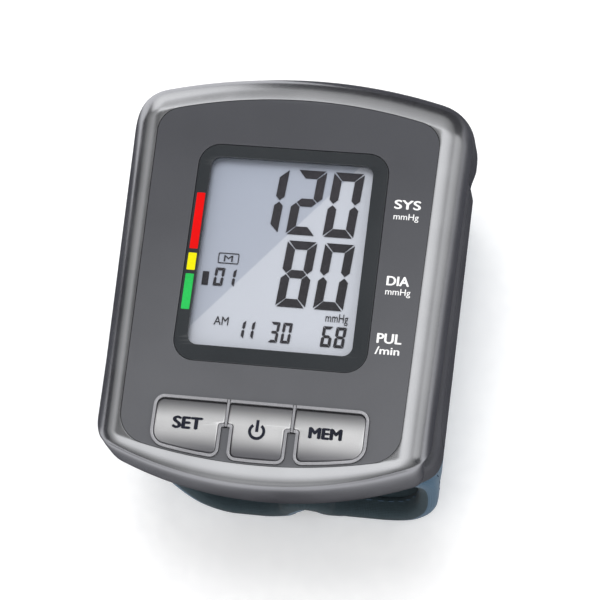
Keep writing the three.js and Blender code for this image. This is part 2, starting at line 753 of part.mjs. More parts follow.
// Battery bay: two end walls and an inner wall, from the back up to the board
const innerCellX = cellX - 2 * cellRadius - seatGap;
const bayWallX = innerCellX - cellRadius - seatGap;
const bayTopZ = boardLowZ - seatGap;
function bayWalls() {
  const inside = caseWidth / 2 - wall / 2 - backInset / 4;
  const endWall = (y) => block(
    bayWallX - bayWallThickness, inside, y, y + bayWallThickness, bayFloorZ - wall / 2, bayTopZ);
  return [
    endWall(cellMiddleY + bayHalf),
    endWall(bayLowY),
    block(bayWallX - bayWallThickness, bayWallX, bayLowY, bayEndY, bayFloorZ - wall / 2, bayTopZ),
  ];
}
const screwHeadZ = backZ + screwWell;
function rearHousing() {
  const shell = cut(rearOutside, rearBody(wall, bayFloorZ, rearTopZ + cutOverrun));
  const bosses = caseScrewPlaces.map(([x, y]) => post(x, y, bossRadius, bayFloorZ - wall / 2, rearTopZ));
  const body = join(shell, ...bosses.map((boss) => boss.intersect(rearOutside)), ...bayWalls());
  const wells = caseScrewPlaces.map(([x, y]) => post(
    x, y, screwHeadRadius + sideGap, backZ - cutOverrun, screwHeadZ, 16));
  const holes = caseScrewPlaces.map(([x, y]) => post(
    x, y, screwRadius + seatGap, backZ, rearTopZ + cutOverrun, 10));
  const portHole = post(portX, portY, portRadius + seatGap, backZ - cutOverrun, bayFloorZ + cutOverrun);
  const cuffHoles = cuffScrewYs.map((y) => post(
    cuffScrewX, y, screwRadius + seatGap, backZ - cutOverrun, bayFloorZ + cutOverrun, 10));
  const doorHole = doorPrism(sideGap, doorInnerX - wall, caseWidth);
  return cut(body, ...wells, ...holes, portHole, ...cuffHoles, doorHole, thumbNotch);
}
place('rear_housing', rearHousing(), 0x43444a, 0.55);

// Battery door: a piece of the side wall with two tongues that slide into the bay
function batteryDoor() {
  const skin = doorPrism(0, doorInnerX, caseWidth).intersect(rearOutside);
  const tongues = [-1, 1].map((side) => {
    const y = doorMiddleY + side * (doorLength / 2 - seatGap - tongueThickness / 2);
    return block(doorInnerX - tongueLength, doorInnerX + doorWall / 2, y - tongueThickness / 2,
      y + tongueThickness / 2, doorMiddleZ - tongueWidth / 2, doorMiddleZ + tongueWidth / 2);
  });
  return cut(join(skin, ...tongues), thumbNotch);
}
place('battery_door', batteryDoor(), 0x45464c, 0.5);

// Two cells, pointing opposite ways, with a coil at one end of each and plates at the others
const cellZ = bayFloorZ + seatGap + cellRadius;
[[cellX, 1], [innerCellX, -1]].forEach(([x, way], index) => {
  const lowY = cellMiddleY - cellLength / 2;
  const highY = cellMiddleY + cellLength / 2;
  const tipY = way > 0 ? highY : lowY - cellNubLength;
  const cell = join(
    rodAlongY(x, cellZ, cellRadius, lowY, highY),
    rodAlongY(x, cellZ, cellNubRadius, tipY - seatGap, tipY + cellNubLength + seatGap, 12));
  place('battery_' + (index + 1), cell, 0x8d9096, 0.35, 0.6);
});

// Coil contacts press on the cells' flat ends, plates on their nubs
class CoilPath extends THREE.Curve {
  getPoint(share, target = new THREE.Vector3()) {
    const angle = share * coilTurns * 2 * Math.PI;
    const radius = coilBase + (coilTip - coilBase) * share;
    return target.set(radius * Math.cos(angle), coilLength * share, radius * Math.sin(angle));
  }
}
function coil(x, baseY, way) {
  const section = new THREE.Shape(Array.from({ length: 5 }, (_, side) => new THREE.Vector2(
    coilWire / 2 * Math.cos(side * 2 * Math.PI / 5), coilWire / 2 * Math.sin(side * 2 * Math.PI / 5))));
  const geometry = new THREE.ExtrudeGeometry(
    section, { extrudePath: new CoilPath(), steps: 8 * coilTurns, bevelEnabled: false });
  if (way < 0) geometry.rotateZ(Math.PI);
  return solid(geometry.translate(x, baseY, cellZ));
}
[[cellX, 1], [innerCellX, -1]].forEach(([x, way], index) => {
  const coilY = cellMiddleY - way * (bayHalf - seatGap - coilWire / 2);
  place('coil_contact_' + (index + 1), coil(x, coilY, way), 0xc9c9cc, 0.3, 0.9);
  const plateY = cellMiddleY + way * (bayHalf - seatGap);
  const plate = block(x - plateHalf, x + plateHalf, Math.min(plateY, plateY - way * plateThickness),
    Math.max(plateY, plateY - way * plateThickness), cellZ - plateHalf, cellZ + plateHalf);
  place('plate_contact_' + (index + 1), plate, 0xd6d1bd, 0.35, 0.9);
});

// Case screws, up through the wells in the back
caseScrewPlaces.forEach(([x, y], index) => {
  const headTopZ = screwHeadZ - seatGap;
  const head = post(x, y, screwHeadRadius, headTopZ - screwHeadHeight, headTopZ, 16);
  const slot = [[driveWidth, driveSlot], [driveSlot, driveWidth]].map(([width, length]) => block(
    x - width / 2, x + width / 2, y - length / 2, y + length / 2, headTopZ - screwHeadHeight - seatGap,
    headTopZ - screwHeadHeight / 2));
  const shank = post(x, y, screwRadius, headTopZ - screwHeadHeight / 4, headTopZ + screwLength, 10);
  place('case_screw_' + (index + 1), join(cut(head, ...slot), shank), 0x9a9a9e, 0.35, 0.9);
});

// Air pump: motor can along Y, and the pump head on its end with one barb towards the manifold
const pumpZ = bayFloorZ + seatGap + motorRadius;
const airZ = bayFloorZ + seatGap + manifoldHeight / 2;
const motorEndY = motorY + motorLength / 2;
const headMiddleY = motorEndY + seatGap + headLength / 2;
function barb(x, y, z, toX, toY, length = barbLength) {
  const geometry = new THREE.CylinderGeometry(barbRadius, barbRadius, length + seatGap, 10);
  if (toX) geometry.rotateZ(Math.PI / 2);
  const shift = (length - seatGap) / 2;
  return solid(geometry.translate(x + toX * shift, y + toY * shift, z));
}
place('pump_motor', join(
  rodAlongY(motorX, pumpZ, motorRadius, motorY - motorLength / 2, motorEndY, 24),
  rodAlongY(motorX, pumpZ, motorRadius / 3, motorY - motorLength / 2 - motorRadius / 4, motorEndY, 12)),
0xa9acb2, 0.3, 0.9);
const headRightX = motorX + motorRadius;
const manifoldLeftX = portX - manifoldWidth / 2;
const pumpBarbLength = (manifoldLeftX - headRightX) * barbShare;
place('pump_head', join(
  block(motorX - motorRadius, headRightX, headMiddleY - headLength / 2, headMiddleY + headLength / 2,
    pumpZ - motorRadius, pumpZ + motorRadius),
  barb(headRightX, headMiddleY, airZ, 1, 0, pumpBarbLength)), 0x2d2f33, 0.5);

// Manifold above the cuff port, with barbs for the pump, the valve and the sensor
const manifoldHighY = portY + manifoldLength / 2;
const manifoldLowY = portY - manifoldLength / 2;
const manifoldLowZ = bayFloorZ + seatGap;
place('air_manifold', join(
  block(manifoldLeftX, manifoldLeftX + manifoldWidth, manifoldLowY, manifoldHighY,
    manifoldLowZ, manifoldLowZ + manifoldHeight),
  post(portX, portY, barbRadius, manifoldLowZ - barbLength, manifoldLowZ + seatGap, 10),
  barb(manifoldLeftX, headMiddleY, airZ, -1, 0, pumpBarbLength),
  barb(portX, manifoldHighY, airZ, 0, 1),
  barb(portX, manifoldLowY, airZ, 0, -1)), 0xd8d8d4, 0.5);
const valveLowY = manifoldHighY + 2 * barbLength + hoseSlack;
place('release_valve', join(
  block(portX - valveWidth / 2, portX + valveWidth / 2, valveLowY, valveLowY + valveLength,
    manifoldLowZ, manifoldLowZ + valveWidth),
  barb(portX, valveLowY, airZ, 0, -1)), 0x8c8f94, 0.4, 0.4);

// Pressure sensor under the board, its port pointing down
const sensorLowZ = boardLowZ - seatGap - sensorHeight;
place('pressure_sensor', join(
  block(portX - sensorWidth / 2, portX + sensorWidth / 2, sensorY - sensorWidth / 2,
    sensorY + sensorWidth / 2, sensorLowZ, boardLowZ - seatGap),
  post(portX, sensorY, barbRadius, sensorLowZ - sensorPortLength, sensorLowZ + seatGap, 10)),
0x33353a, 0.5);

// Silicone hoses over the barbs
function hose(path, steps) {
  const ring = (radius) => Array.from({ length: 8 }, (_, side) => new THREE.Vector2(
    radius * Math.cos(side * Math.PI / 4), radius * Math.sin(side * Math.PI / 4)));
  const section = new THREE.Shape(ring(hoseRadius));
  section.holes.push(new THREE.Path(ring(hoseBore).reverse()));
  return solid(new THREE.ExtrudeGeometry(section, { extrudePath: path, steps, bevelEnabled: false }));
}
const straight = (from, to) => new THREE.LineCurve3(new THREE.Vector3(...from), new THREE.Vector3(...to));
place('pump_hose', hose(straight(
  [headRightX + seatGap, headMiddleY, airZ],
  [manifoldLeftX - seatGap, headMiddleY, airZ]), 1), 0xe4e2da, 0.5);
place('valve_hose', hose(straight(
  [portX, manifoldHighY + seatGap, airZ], [portX, valveLowY - seatGap, airZ]), 1), 0xe4e2da, 0.5);
function bentPath(startY, endY, lowZ, highZ) {
  const path = new THREE.CurvePath();
  const from = new THREE.Vector3(portX, startY, lowZ);
  const bendStart = new THREE.Vector3(portX, endY + hoseBend, lowZ);
  const bendEnd = new THREE.Vector3(portX, endY, lowZ + hoseBend);
  path.add(new THREE.LineCurve3(from, bendStart));
  path.add(new THREE.QuadraticBezierCurve3(bendStart, new THREE.Vector3(portX, endY, lowZ), bendEnd));
  path.add(new THREE.LineCurve3(bendEnd, new THREE.Vector3(portX, endY, highZ)));
  return path;
}
place('sensor_hose', hose(
  bentPath(manifoldLowY - seatGap, sensorY, airZ, sensorLowZ - seatGap), 12), 0xe4e2da, 0.5);

// Cuff: a closed loop of padded cloth, pushed flat under the case with its lower side folded up in
// the middle. Seen along Y from the display's lower end, its midline runs counter-clockwise
// through these shares of the loop's half width and of its depth.
const loopShares = [
  [0.072, 0.503], [0.173, 0.337], [0.23, 0.13], [0.36, 0], [0.63, 0], [0.827, 0.067], [0.953, 0.249],
  [1, 0.534], [0.971, 0.819], [0.827, 1], [0.54, 1], [0.072, 1], [-0.468, 1], [-0.809, 1],
  [-0.953, 0.87], [-0.946, 0.637], [-0.827, 0.378], [-0.683, 0.145], [-0.504, 0], [-0.27, 0],
  [-0.101, 0.14], [-0.029, 0.337],
];
const stepsEach = 3;
const loopSteps = loopShares.length * stepsEach;
const halfSleeve = sleeveThickness / 2;
const loopLowZ = halfSleeve - restCut;
const loopHighZ = cuffDepth - halfSleeve;
const loopCurve = new THREE.CatmullRomCurve3(
  loopShares.map(([x, z]) => new THREE.Vector3(x, 0, z)), true, 'centripetal');
const stations = Array.from({ length: loopSteps }, (_, index) => {
  const share = loopCurve.getPoint(index / loopSteps);
  const rise = THREE.MathUtils.clamp(share.z, 0, 1);
  return {
    x: cuffMiddleX + (cuffHalf - halfSleeve) * share.x,
    z: loopLowZ + (loopHighZ - loopLowZ) * rise,
    wave: rimWave * rise * share.x ** 2,
  };
});
stations.forEach((station, index) => {
  const before = stations.at(index - 1);
  const after = stations[(index + 1) % loopSteps];
  const length = Math.hypot(after.x - before.x, after.z - before.z);
  station.outX = (after.z - before.z) / length;
  station.outZ = (before.x - after.x) / length;
});

// Solid swept along part of the loop, or all round it. A section is a list of outward offset and y.
function sweep(chosen, sectionAt, closed = false) {
  const sections = chosen.map(sectionAt);
  const count = sections[0].length;
  const points = chosen.flatMap((station, index) => sections[index].map(([out, y]) => [
    station.x + station.outX * out, y, station.z + station.outZ * out]));
  const faces = [];
  const spans = closed ? chosen.length : chosen.length - 1;
  for (let span = 0; span < spans; span++) {
    const low = span * count;
    const high = ((span + 1) % chosen.length) * count;
    for (let step = 0; step < count; step++) {
      const next = (step + 1) % count;
      faces.push(low + step, low + next, high + next, low + step, high + next, high + step);
    }
  }
  if (!closed) {
    const last = (chosen.length - 1) * count;
    const flat = (section) => section.map(([out, y]) => new THREE.Vector2(out, y));
    for (const [a, b, c] of THREE.ShapeUtils.triangulateShape(flat(sections[0]), [])) faces.push(a, c, b);
    for (const [a, b, c] of THREE.ShapeUtils.triangulateShape(flat(sections.at(-1)), [])) {
      faces.push(last + a, last + b, last + c);
    }
  }
  return solid(meshOf(points, faces));
}
const lowRim = (station) => cuffLowY + station.wave;
const highRim = (station) => cuffLowY + cuffWidth - station.wave;
const band = (lowOut, highOut, margin) => (station) => [
  [lowOut, lowRim(station) + margin], [highOut, lowRim(station) + margin],
  [highOut, highRim(station) - margin], [lowOut, highRim(station) - margin],
];
const evenBand = (lowOut, highOut, lowY, highY) => () => [
  [lowOut, lowY], [highOut, lowY], [highOut, highY], [lowOut, highY],
];
function sleeveSection(station) {
  const low = lowRim(station);
  const high = highRim(station);
  return [
    [-halfSleeve, low + sleeveRound], [-halfSleeve / 2, low], [halfSleeve / 2, low],
    [halfSleeve, low + sleeveRound], [halfSleeve, high - sleeveRound], [halfSleeve / 2, high],
    [-halfSleeve / 2, high], [-halfSleeve, high - sleeveRound],
  ];
}

// The sleeve's pocket runs over the top from the right end to the left lower side. In it lie the
// stiffener on the case's side and the bladder on the wrist's side.
const pocketStart = 6 * stepsEach;
const foldedTop = 14 * stepsEach;
const foldedLow = 16 * stepsEach;
const pocketStop = foldedLow;
const pocketHalf = halfSleeve - sleeveSkin;
const stiffenerHighOut = pocketHalf - seatGap;
const stiffenerLowOut = stiffenerHighOut - stiffenerThickness;
const bladderLowOut = -pocketHalf + seatGap;
const bladderHighOut = bladderLowOut + bladderThickness;
const stiffenerTopZ = loopHighZ + stiffenerHighOut;
const stiffenerUnderZ = loopHighZ + stiffenerLowOut;

// The closing tab lies up the left side, over its hook patch and the loop patch
const tabStart = foldedTop;
const tabStop = foldedLow;
const anchorStop = tabStop + stepsEach;
const loopPatchOut = halfSleeve + seatGap;
const hookPatchOut = loopPatchOut + patchThickness + seatGap;
const tabOut = hookPatchOut + patchThickness + seatGap;
const along = (length) => [cuffMiddleY - length / 2, cuffMiddleY + length / 2];
function cuffSleeve() {
  const floorCut = block(-caseWidth, caseWidth, -caseLength, caseLength, -cuffDepth, 0);
  const pocket = sweep(
    stations.slice(pocketStart, pocketStop + 1), band(-pocketHalf, pocketHalf, pocketMargin));
  const portHole = post(portX, portY, portRadius + seatGap, loopHighZ, backZ);
  const bossHoles = cuffScrewYs.map((y) => post(
    cuffScrewX, y, stiffenerBoss + seatGap, loopHighZ, backZ));
  const anchor = sweep(stations.slice(tabStop + 1, anchorStop + 1), evenBand(
    halfSleeve / 2, tabOut + tabThickness, ...along(tabLength)));
  const loop = sweep(stations, sleeveSection, true);
  return cut(join(cut(loop, floorCut), anchor), pocket, portHole, ...bossHoles);
}
place('cuff_sleeve', cuffSleeve(), 0x3f5a63, 0.9);

function cuffStiffener() {
  const sheet = sweep(stations.slice(pocketStart + 1, pocketStop), band(
    stiffenerLowOut, stiffenerHighOut, pocketMargin + seatGap));
  const bosses = cuffScrewYs.map((y) => post(
    cuffScrewX, y, stiffenerBoss, stiffenerUnderZ, cuffDepth));
  const holes = cuffScrewYs.map((y) => post(
    cuffScrewX, y, screwRadius + seatGap, stiffenerUnderZ - cutOverrun / 4, backZ, 10));
  const portHole = post(portX, portY, flangeRadius + sideGap, loopHighZ - halfSleeve, backZ);
  return cut(join(sheet, ...bosses), ...holes, portHole);
}
place('cuff_stiffener', cuffStiffener(), 0xd9dcd6, 0.6);

function airBladder() {
  const bag = sweep(stations.slice(pocketStart + 1, pocketStop), band(
    bladderLowOut, bladderHighOut, pocketMargin + bladderMargin));
  return cut(bag, post(portX, portY, portBore, loopHighZ + bladderLowOut + bladderThickness / 2, backZ, 12));
}
place('air_bladder', airBladder(), 0x9aa7a2, 0.6);

// Port fitting: a flange on the bladder and a tube up into the case, round the manifold's spigot
place('port_fitting', cut(
  join(
    post(portX, portY, flangeRadius, stiffenerUnderZ, stiffenerTopZ),
    post(portX, portY, portRadius, stiffenerUnderZ, bayFloorZ)),
  post(portX, portY, portBore, stiffenerUnderZ - cutOverrun, bayFloorZ + cutOverrun, 12)), 0xd8d8d4, 0.5);

// Cuff screws, down from the bay floor into the stiffener's bosses
cuffScrewYs.forEach((y, index) => {
  const headLowZ = bayFloorZ + seatGap;
  const head = post(cuffScrewX, y, screwHeadRadius, headLowZ, headLowZ + screwHeadHeight);
  const slot = block(cuffScrewX - driveWidth / 2, cuffScrewX + driveWidth / 2, y - driveSlot / 2,
    y + driveSlot / 2, headLowZ + screwHeadHeight / 2, headLowZ + screwHeadHeight + seatGap);
  const shank = post(cuffScrewX, y, screwRadius, stiffenerUnderZ, headLowZ + screwHeadHeight / 4, 10);
  place('cuff_screw_' + (index + 1), join(cut(head, slot), shank), 0x9a9a9e, 0.35, 0.9);
});

const tabStations = stations.slice(tabStart, tabStop + 1);
place('loop_patch', sweep(tabStations, evenBand(
  loopPatchOut, loopPatchOut + patchThickness, ...along(patchLength))), 0x2c3c40, 0.95);
place('hook_patch', sweep(tabStations, evenBand(
  hookPatchOut, hookPatchOut + patchThickness, ...along(tabLength))), 0x39474b, 0.95);
place('closing_tab', sweep(tabStations, evenBand(
  tabOut, tabOut + tabThickness, ...along(tabLength))), 0x3b5660, 0.9);

export default parts;
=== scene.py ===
import math

import bmesh
import bpy
from mathutils import Matrix, Vector
from mathutils.geometry import tessellate_polygon


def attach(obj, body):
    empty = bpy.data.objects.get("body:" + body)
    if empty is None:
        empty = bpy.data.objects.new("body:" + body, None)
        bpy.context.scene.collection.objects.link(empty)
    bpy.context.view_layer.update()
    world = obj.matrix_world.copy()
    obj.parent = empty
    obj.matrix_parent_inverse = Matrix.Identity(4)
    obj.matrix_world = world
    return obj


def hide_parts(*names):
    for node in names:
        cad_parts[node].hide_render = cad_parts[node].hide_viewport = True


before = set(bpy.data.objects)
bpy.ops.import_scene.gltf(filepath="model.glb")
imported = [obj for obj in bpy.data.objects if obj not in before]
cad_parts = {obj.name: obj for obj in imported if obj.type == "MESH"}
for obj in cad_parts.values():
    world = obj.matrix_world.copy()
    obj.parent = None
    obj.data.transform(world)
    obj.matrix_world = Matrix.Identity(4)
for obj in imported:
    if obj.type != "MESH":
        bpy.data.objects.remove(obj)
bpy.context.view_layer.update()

scene = bpy.context.scene
scene.view_settings.view_transform = 'Standard'
mm = 0.001


def addObject(name, data):
    thing = bpy.data.objects.new(name, data)
    scene.collection.objects.link(thing)
    return thing


def clamp(value):
    return min(max(value, 0.0), 1.0)


def onCircle(x, y, radius, angle):
    return x + radius * math.cos(angle), y + radius * math.sin(angle)


# camera, where the photograph was taken from: display up, seen from its lower right
cameraSpot = {
    'place': (79.13, -127.62, 461.66),
    'right': (0.9827, 0.1220, -0.1396),
    'up': (-0.0769, 0.9533, 0.2921),
    'back': (0.1688, -0.2763, 0.9461),
    'lens': 133.74,
    'sensor': 36.0,
}


def addCamera(spot):
    data = bpy.data.cameras.new('studioCamera')
    data.lens = spot['lens']
    data.sensor_width = spot['sensor']
    camera = addObject('studioCamera', data)
    turn = Matrix([spot['right'], spot['up'], spot['back']]).transposed().to_4x4()
    camera.matrix_world = Matrix.Translation(Vector(spot['place']) * mm) @ turn
    scene.camera = camera


addCamera(cameraSpot)
print('camera ready')


# colours are written as they look on screen
def screenColor(code):
    channels = [int(code[i:i + 2], 16) / 255 for i in (1, 3, 5)]
    return tuple(c / 12.92 if c <= 0.04045 else ((c + 0.055) / 1.055) ** 2.4 for c in channels) + (1.0,)


# shader groups shared by many finishes
def newGroup(name, inputs, outputs):
    group = bpy.data.node_groups.new(name, 'ShaderNodeTree')
    for label, kind, value in inputs:
        socket = group.interface.new_socket(label, in_out='INPUT', socket_type=kind)
        socket.default_value = value
    for label, kind in outputs:
        group.interface.new_socket(label, in_out='OUTPUT', socket_type=kind)
    return group, group.nodes.new('NodeGroupInput'), group.nodes.new('NodeGroupOutput')


def addNode(tree, kind, **settings):
    node = tree.nodes.new(kind)
    for key, value in settings.items():
        setattr(node, key, value)
    return node


def maths(tree, operation, first, second=None, third=None):
    node = addNode(tree, 'ShaderNodeMath', operation=operation)
    for index, value in enumerate((first, second, third)):
        if value is None:
            continue
        if isinstance(value, (int, float)):
            node.inputs[index].default_value = value
        else:
            tree.links.new(value, node.inputs[index])
    return node.outputs[0]


def mixColors(tree, share, first, second, mode='MIX'):
    node = addNode(tree, 'ShaderNodeMix', data_type='RGBA', blend_type=mode)
    for socket, value in ((node.inputs[0], share), (node.inputs[6], first), (node.inputs[7], second)):
        if isinstance(value, (int, float, tuple)):
            socket.default_value = value
        else:
            tree.links.new(value, socket)
    return node.outputs[2]


def ramp(tree, value, low, high, outLow=0.0, outHigh=1.0, kind='SMOOTHSTEP'):
    node = addNode(tree, 'ShaderNodeMapRange', interpolation_type=kind)
    tree.links.new(value, node.inputs[0])
    for index, number in enumerate((low, high, outLow, outHigh), 1):
        if isinstance(number, (int, float)):
            node.inputs[index].default_value = number
        else:
            tree.links.new(number, node.inputs[index])
    return node.outputs[0]


def placeParts(tree, kind='Object'):
    # X, Y and Z of a texture place
    parts = addNode(tree, 'ShaderNodeSeparateXYZ')
    tree.links.new(addNode(tree, 'ShaderNodeTexCoord').outputs[kind], parts.inputs[0])
    return parts.outputs


def bumpNormal(tree, height, depth):
    bump = addNode(tree, 'ShaderNodeBump')
    tree.links.new(height, bump.inputs['Height'])
    tree.links.new(depth, bump.inputs['Distance'])
    return bump.outputs[0]


# bounds of the noise that turn it into a share from dark to light
noiseSpan = (0.35, 0.65)


def buildGrain():
    # fine moulded or lacquered grain: slow colour drift, patchy roughness and a small bump
    group, given, result = newGroup('surfaceGrain', [
        ('Light', 'NodeSocketColor', (0.5, 0.5, 0.5, 1)), ('Dark', 'NodeSocketColor', (0.4, 0.4, 0.4, 1)),
        ('Grain', 'NodeSocketFloat', 2500.0), ('Drift', 'NodeSocketFloat', 60.0),
        ('Smooth', 'NodeSocketFloat', 0.3), ('Rough', 'NodeSocketFloat', 0.45),
        ('Depth', 'NodeSocketFloat', 0.00002)],
        [('Color', 'NodeSocketColor'), ('Roughness', 'NodeSocketFloat'), ('Normal', 'NodeSocketVector')])
    place = addNode(group, 'ShaderNodeTexCoord').outputs['Object']
    fine = addNode(group, 'ShaderNodeTexNoise')
    slow = addNode(group, 'ShaderNodeTexNoise')
    for noise, scale, detail in ((fine, 'Grain', 3.0), (slow, 'Drift', 2.0)):
        group.links.new(place, noise.inputs['Vector'])
        group.links.new(given.outputs[scale], noise.inputs['Scale'])
        noise.inputs['Detail'].default_value = detail
    fineShare, slowShare = 0.45, 0.55
    both = maths(group, 'MULTIPLY_ADD', fine.outputs[0], fineShare,
                 maths(group, 'MULTIPLY', slow.outputs[0], slowShare))
    share = ramp(group, both, *noiseSpan)
    group.links.new(mixColors(group, share, given.outputs['Dark'], given.outputs['Light']), result.inputs[0])
    group.links.new(ramp(group, both, *noiseSpan, given.outputs['Smooth'], given.outputs['Rough']),
                    result.inputs[1])
    group.links.new(bumpNormal(group, fine.outputs[0], given.outputs['Depth']), result.inputs[2])
    return group


def buildFade():
    # colour that changes from one level to another along the piece's own Y
    group, given, result = newGroup('lengthFade', [
        ('Low Color', 'NodeSocketColor', (0.3, 0.3, 0.3, 1)),
        ('High Color', 'NodeSocketColor', (0.2, 0.2, 0.2, 1)),
        ('Low Y', 'NodeSocketFloat', -0.04), ('High Y', 'NodeSocketFloat', 0.04)],
        [('Color', 'NodeSocketColor'), ('Share', 'NodeSocketFloat')])
    share = ramp(group, placeParts(group)[1], given.outputs['Low Y'], given.outputs['High Y'])
    group.links.new(mixColors(group, share, given.outputs['Low Color'], given.outputs['High Color']),
                    result.inputs[0])
    group.links.new(share, result.inputs[1])
    return group


# how all woven cloth is fuzzed, coloured and roughened
weaveLook = {'fuzzScale': 900.0, 'fuzzDetail': 4.0, 'threadShare': 0.7, 'colorSpan': (0.15, 0.95),
             'roughness': (0.95, 0.75)}


def buildWeave():
    # plain woven cloth on the piece's UV, which is laid out in metres; the darker gap colour is painted shade
    # down between the threads
    group, given, result = newGroup('clothWeave', [
        ('Thread', 'NodeSocketColor', (0.1, 0.15, 0.2, 1)), ('Gap', 'NodeSocketColor', (0.02, 0.03, 0.04, 1)),
        ('Pitch', 'NodeSocketFloat', 0.0006), ('Depth', 'NodeSocketFloat', 0.00012),
        ('Fuzz', 'NodeSocketFloat', 0.4)],
        [('Color', 'NodeSocketColor'), ('Roughness', 'NodeSocketFloat'), ('Normal', 'NodeSocketVector')])
    parts = placeParts(group, 'UV')
    across = [maths(group, 'DIVIDE', parts[axis], given.outputs['Pitch']) for axis in (0, 1)]
    waves = [maths(group, 'ABSOLUTE', maths(group, 'SINE', maths(group, 'MULTIPLY', step, math.pi)))
             for step in across]
    cell = maths(group, 'ADD', *[maths(group, 'FLOOR', step) for step in across])
    odd = maths(group, 'MODULO', maths(group, 'ABSOLUTE', cell), 2.0)
    over = maths(group, 'MULTIPLY_ADD', maths(group, 'SUBTRACT', waves[0], waves[1]), odd, waves[1])
    noise = addNode(group, 'ShaderNodeTexNoise')
    group.links.new(addNode(group, 'ShaderNodeTexCoord').outputs['Object'], noise.inputs['Vector'])
    noise.inputs['Scale'].default_value = weaveLook['fuzzScale']
    noise.inputs['Detail'].default_value = weaveLook['fuzzDetail']
    fuzz = maths(group, 'MULTIPLY', noise.outputs[0], given.outputs['Fuzz'])
    height = maths(group, 'MULTIPLY_ADD', over, weaveLook['threadShare'], fuzz)
    share = ramp(group, height, *weaveLook['colorSpan'])
    group.links.new(mixColors(group, share, given.outputs['Gap'], given.outputs['Thread']), result.inputs[0])
    group.links.new(ramp(group, height, 0.0, 1.0, *weaveLook['roughness']), result.inputs[1])
    group.links.new(bumpNormal(group, height, given.outputs['Depth']), result.inputs[2])
    return group


grainGroup = buildGrain()
fadeGroup = buildFade()
weaveGroup = buildWeave()


def placeGroup(tree, group, **values):
    node = addNode(tree, 'ShaderNodeGroup', node_tree=group)
    for label, value in values.items():
        node.inputs[label.replace('_', ' ')].default_value = value
    return node


def newMaterial(name, **surface):
    material = bpy.data.materials.new(name)
    material.use_nodes = True
    principled = material.node_tree.nodes['Principled BSDF']
    for label, value in surface.items():
        principled.inputs[label.replace('_', ' ')].default_value = value
    material.diffuse_color = (0.5, 0.5, 0.5, 1)
    return material, material.node_tree, principled


def dress(tree, principled, node):
    for output, socket in (('Color', 'Base Color'), ('Roughness', 'Roughness'), ('Normal', 'Normal')):
        tree.links.new(node.outputs[output], principled.inputs[socket])


def dressOver(tree, principled, color, shade, **values):
    # grain on a colour that other nodes give; its dark side is that colour times a shade
    node = placeGroup(tree, grainGroup, **values)
    tree.links.new(color, node.inputs['Light'])
    darker = mixColors(tree, 1.0, color, (shade, shade, shade, 1.0), 'MULTIPLY')
    tree.links.new(darker, node.inputs['Dark'])
    dress(tree, principled, node)


def grainMaterial(name, light, dark, smooth, rough, grain=2500.0, drift=60.0, depth=0.00002, **surface):
    material, tree, principled = newMaterial(name, **surface)
    node = placeGroup(tree, grainGroup, Light=screenColor(light), Dark=screenColor(dark), Grain=grain,
                      Drift=drift, Smooth=smooth, Rough=rough, Depth=depth)
    dress(tree, principled, node)
    return material


def placeFade(tree, low, high, lowY, highY):
    return placeGroup(tree, fadeGroup, Low_Color=screenColor(low), High_Color=screenColor(high),
                      Low_Y=lowY * mm, High_Y=highY * mm)


def fadeMaterial(name, low, high, lowY, highY, smooth, rough, shade, **surface):
    material, tree, principled = newMaterial(name, **surface)
    fade = placeFade(tree, low, high, lowY, highY)
    dressOver(tree, principled, fade.outputs['Color'], shade, Grain=3500.0, Drift=80.0, Smooth=smooth,
              Rough=rough, Depth=0.00001)
    return material


def clothMaterial(name, thread, gap, pitch, depth, fuzz, **surface):
    material, tree, principled = newMaterial(name, **surface)
    node = placeGroup(tree, weaveGroup, Thread=screenColor(thread), Gap=screenColor(gap), Pitch=pitch,
                      Depth=depth, Fuzz=fuzz)
    dress(tree, principled, node)
    return material


# room: pale floor, broad soft lamps, white beyond, and dark low flags that the silver mirrors
room = {
    'floorColor': '#fafafa',
    'floorDark': '#f1f1f2',
    'floorLift': 0.21,
    'floorMirror': '#4a4a50',
    'frontMirror': '#9c9ca0',
    'frontLift': 0.24,
    'frontSlope': -0.4,
    'frontFrom': (-0.088, -0.054),
    'backLeftX': (-0.03, -0.012),
    'backLeftY': (0.05, 0.08),
    'backLeftGain': 1.6,
    'rightX': (0.09, 0.3),
    'rightGain': 0.5,
    'floorHalf': 1.6,
    'floorGap': 0.0002,
    'lampAim': (0, 0, 0.03),
    'ambient': 1.08,
    'horizon': 0.08,
    'rise': 0.66,
    'riseFrom': (0.02, 0.62),
    'ring': 0.85,
    'ringFrom': (0.55, 0.9),
    'sideFall': 0.2,
    'dimSpot': (-0.33, 0.25, 0.91),
    'dimFrom': (0.9, 0.985),
    'dimLevel': 0.14,
    'cards': [((-0.5, 0.84, 0.2), 0.93, 0.965, 1.2), ((0.92, 0.28, 0.3), 0.93, 0.98, 0.55),
              ((-0.36, 0.6, 0.71), 0.974, 0.996, 0.9),
              ((-0.15, -0.97, 0.12), 0.93, 0.98, 0.36)],
    'flagRadius': 0.36,
    'flagHeight': 0.17,
    'flagFoot': 0.001,
    'flagFlare': 1.04,
    'flagSides': 48,
    'flagGaps': [(0.58, 0.92), (-0.1, 0.1), (0.96, 1.0), (0.285, 0.42)],
    'flagColor': '#3a3a3e',
    'keyLamp': {'place': (-0.06, 0.30, 0.78), 'size': 0.45, 'watts': 3.0},
    'fillLamp': {'place': (0.60, 0.10, 0.52), 'size': 0.70, 'watts': 0.4},
}


def addLamp(name, place, size, watts):
    data = bpy.data.lights.new(name, 'AREA')
    data.shape = 'DISK'
    data.size = size
    data.energy = watts
    lamp = addObject(name, data)
    lamp.location = place
    lamp.visible_glossy = False
    aim = Vector(room['lampAim']) - Vector(place)
    lamp.rotation_euler = aim.to_track_quat('-Z', 'Y').to_euler()


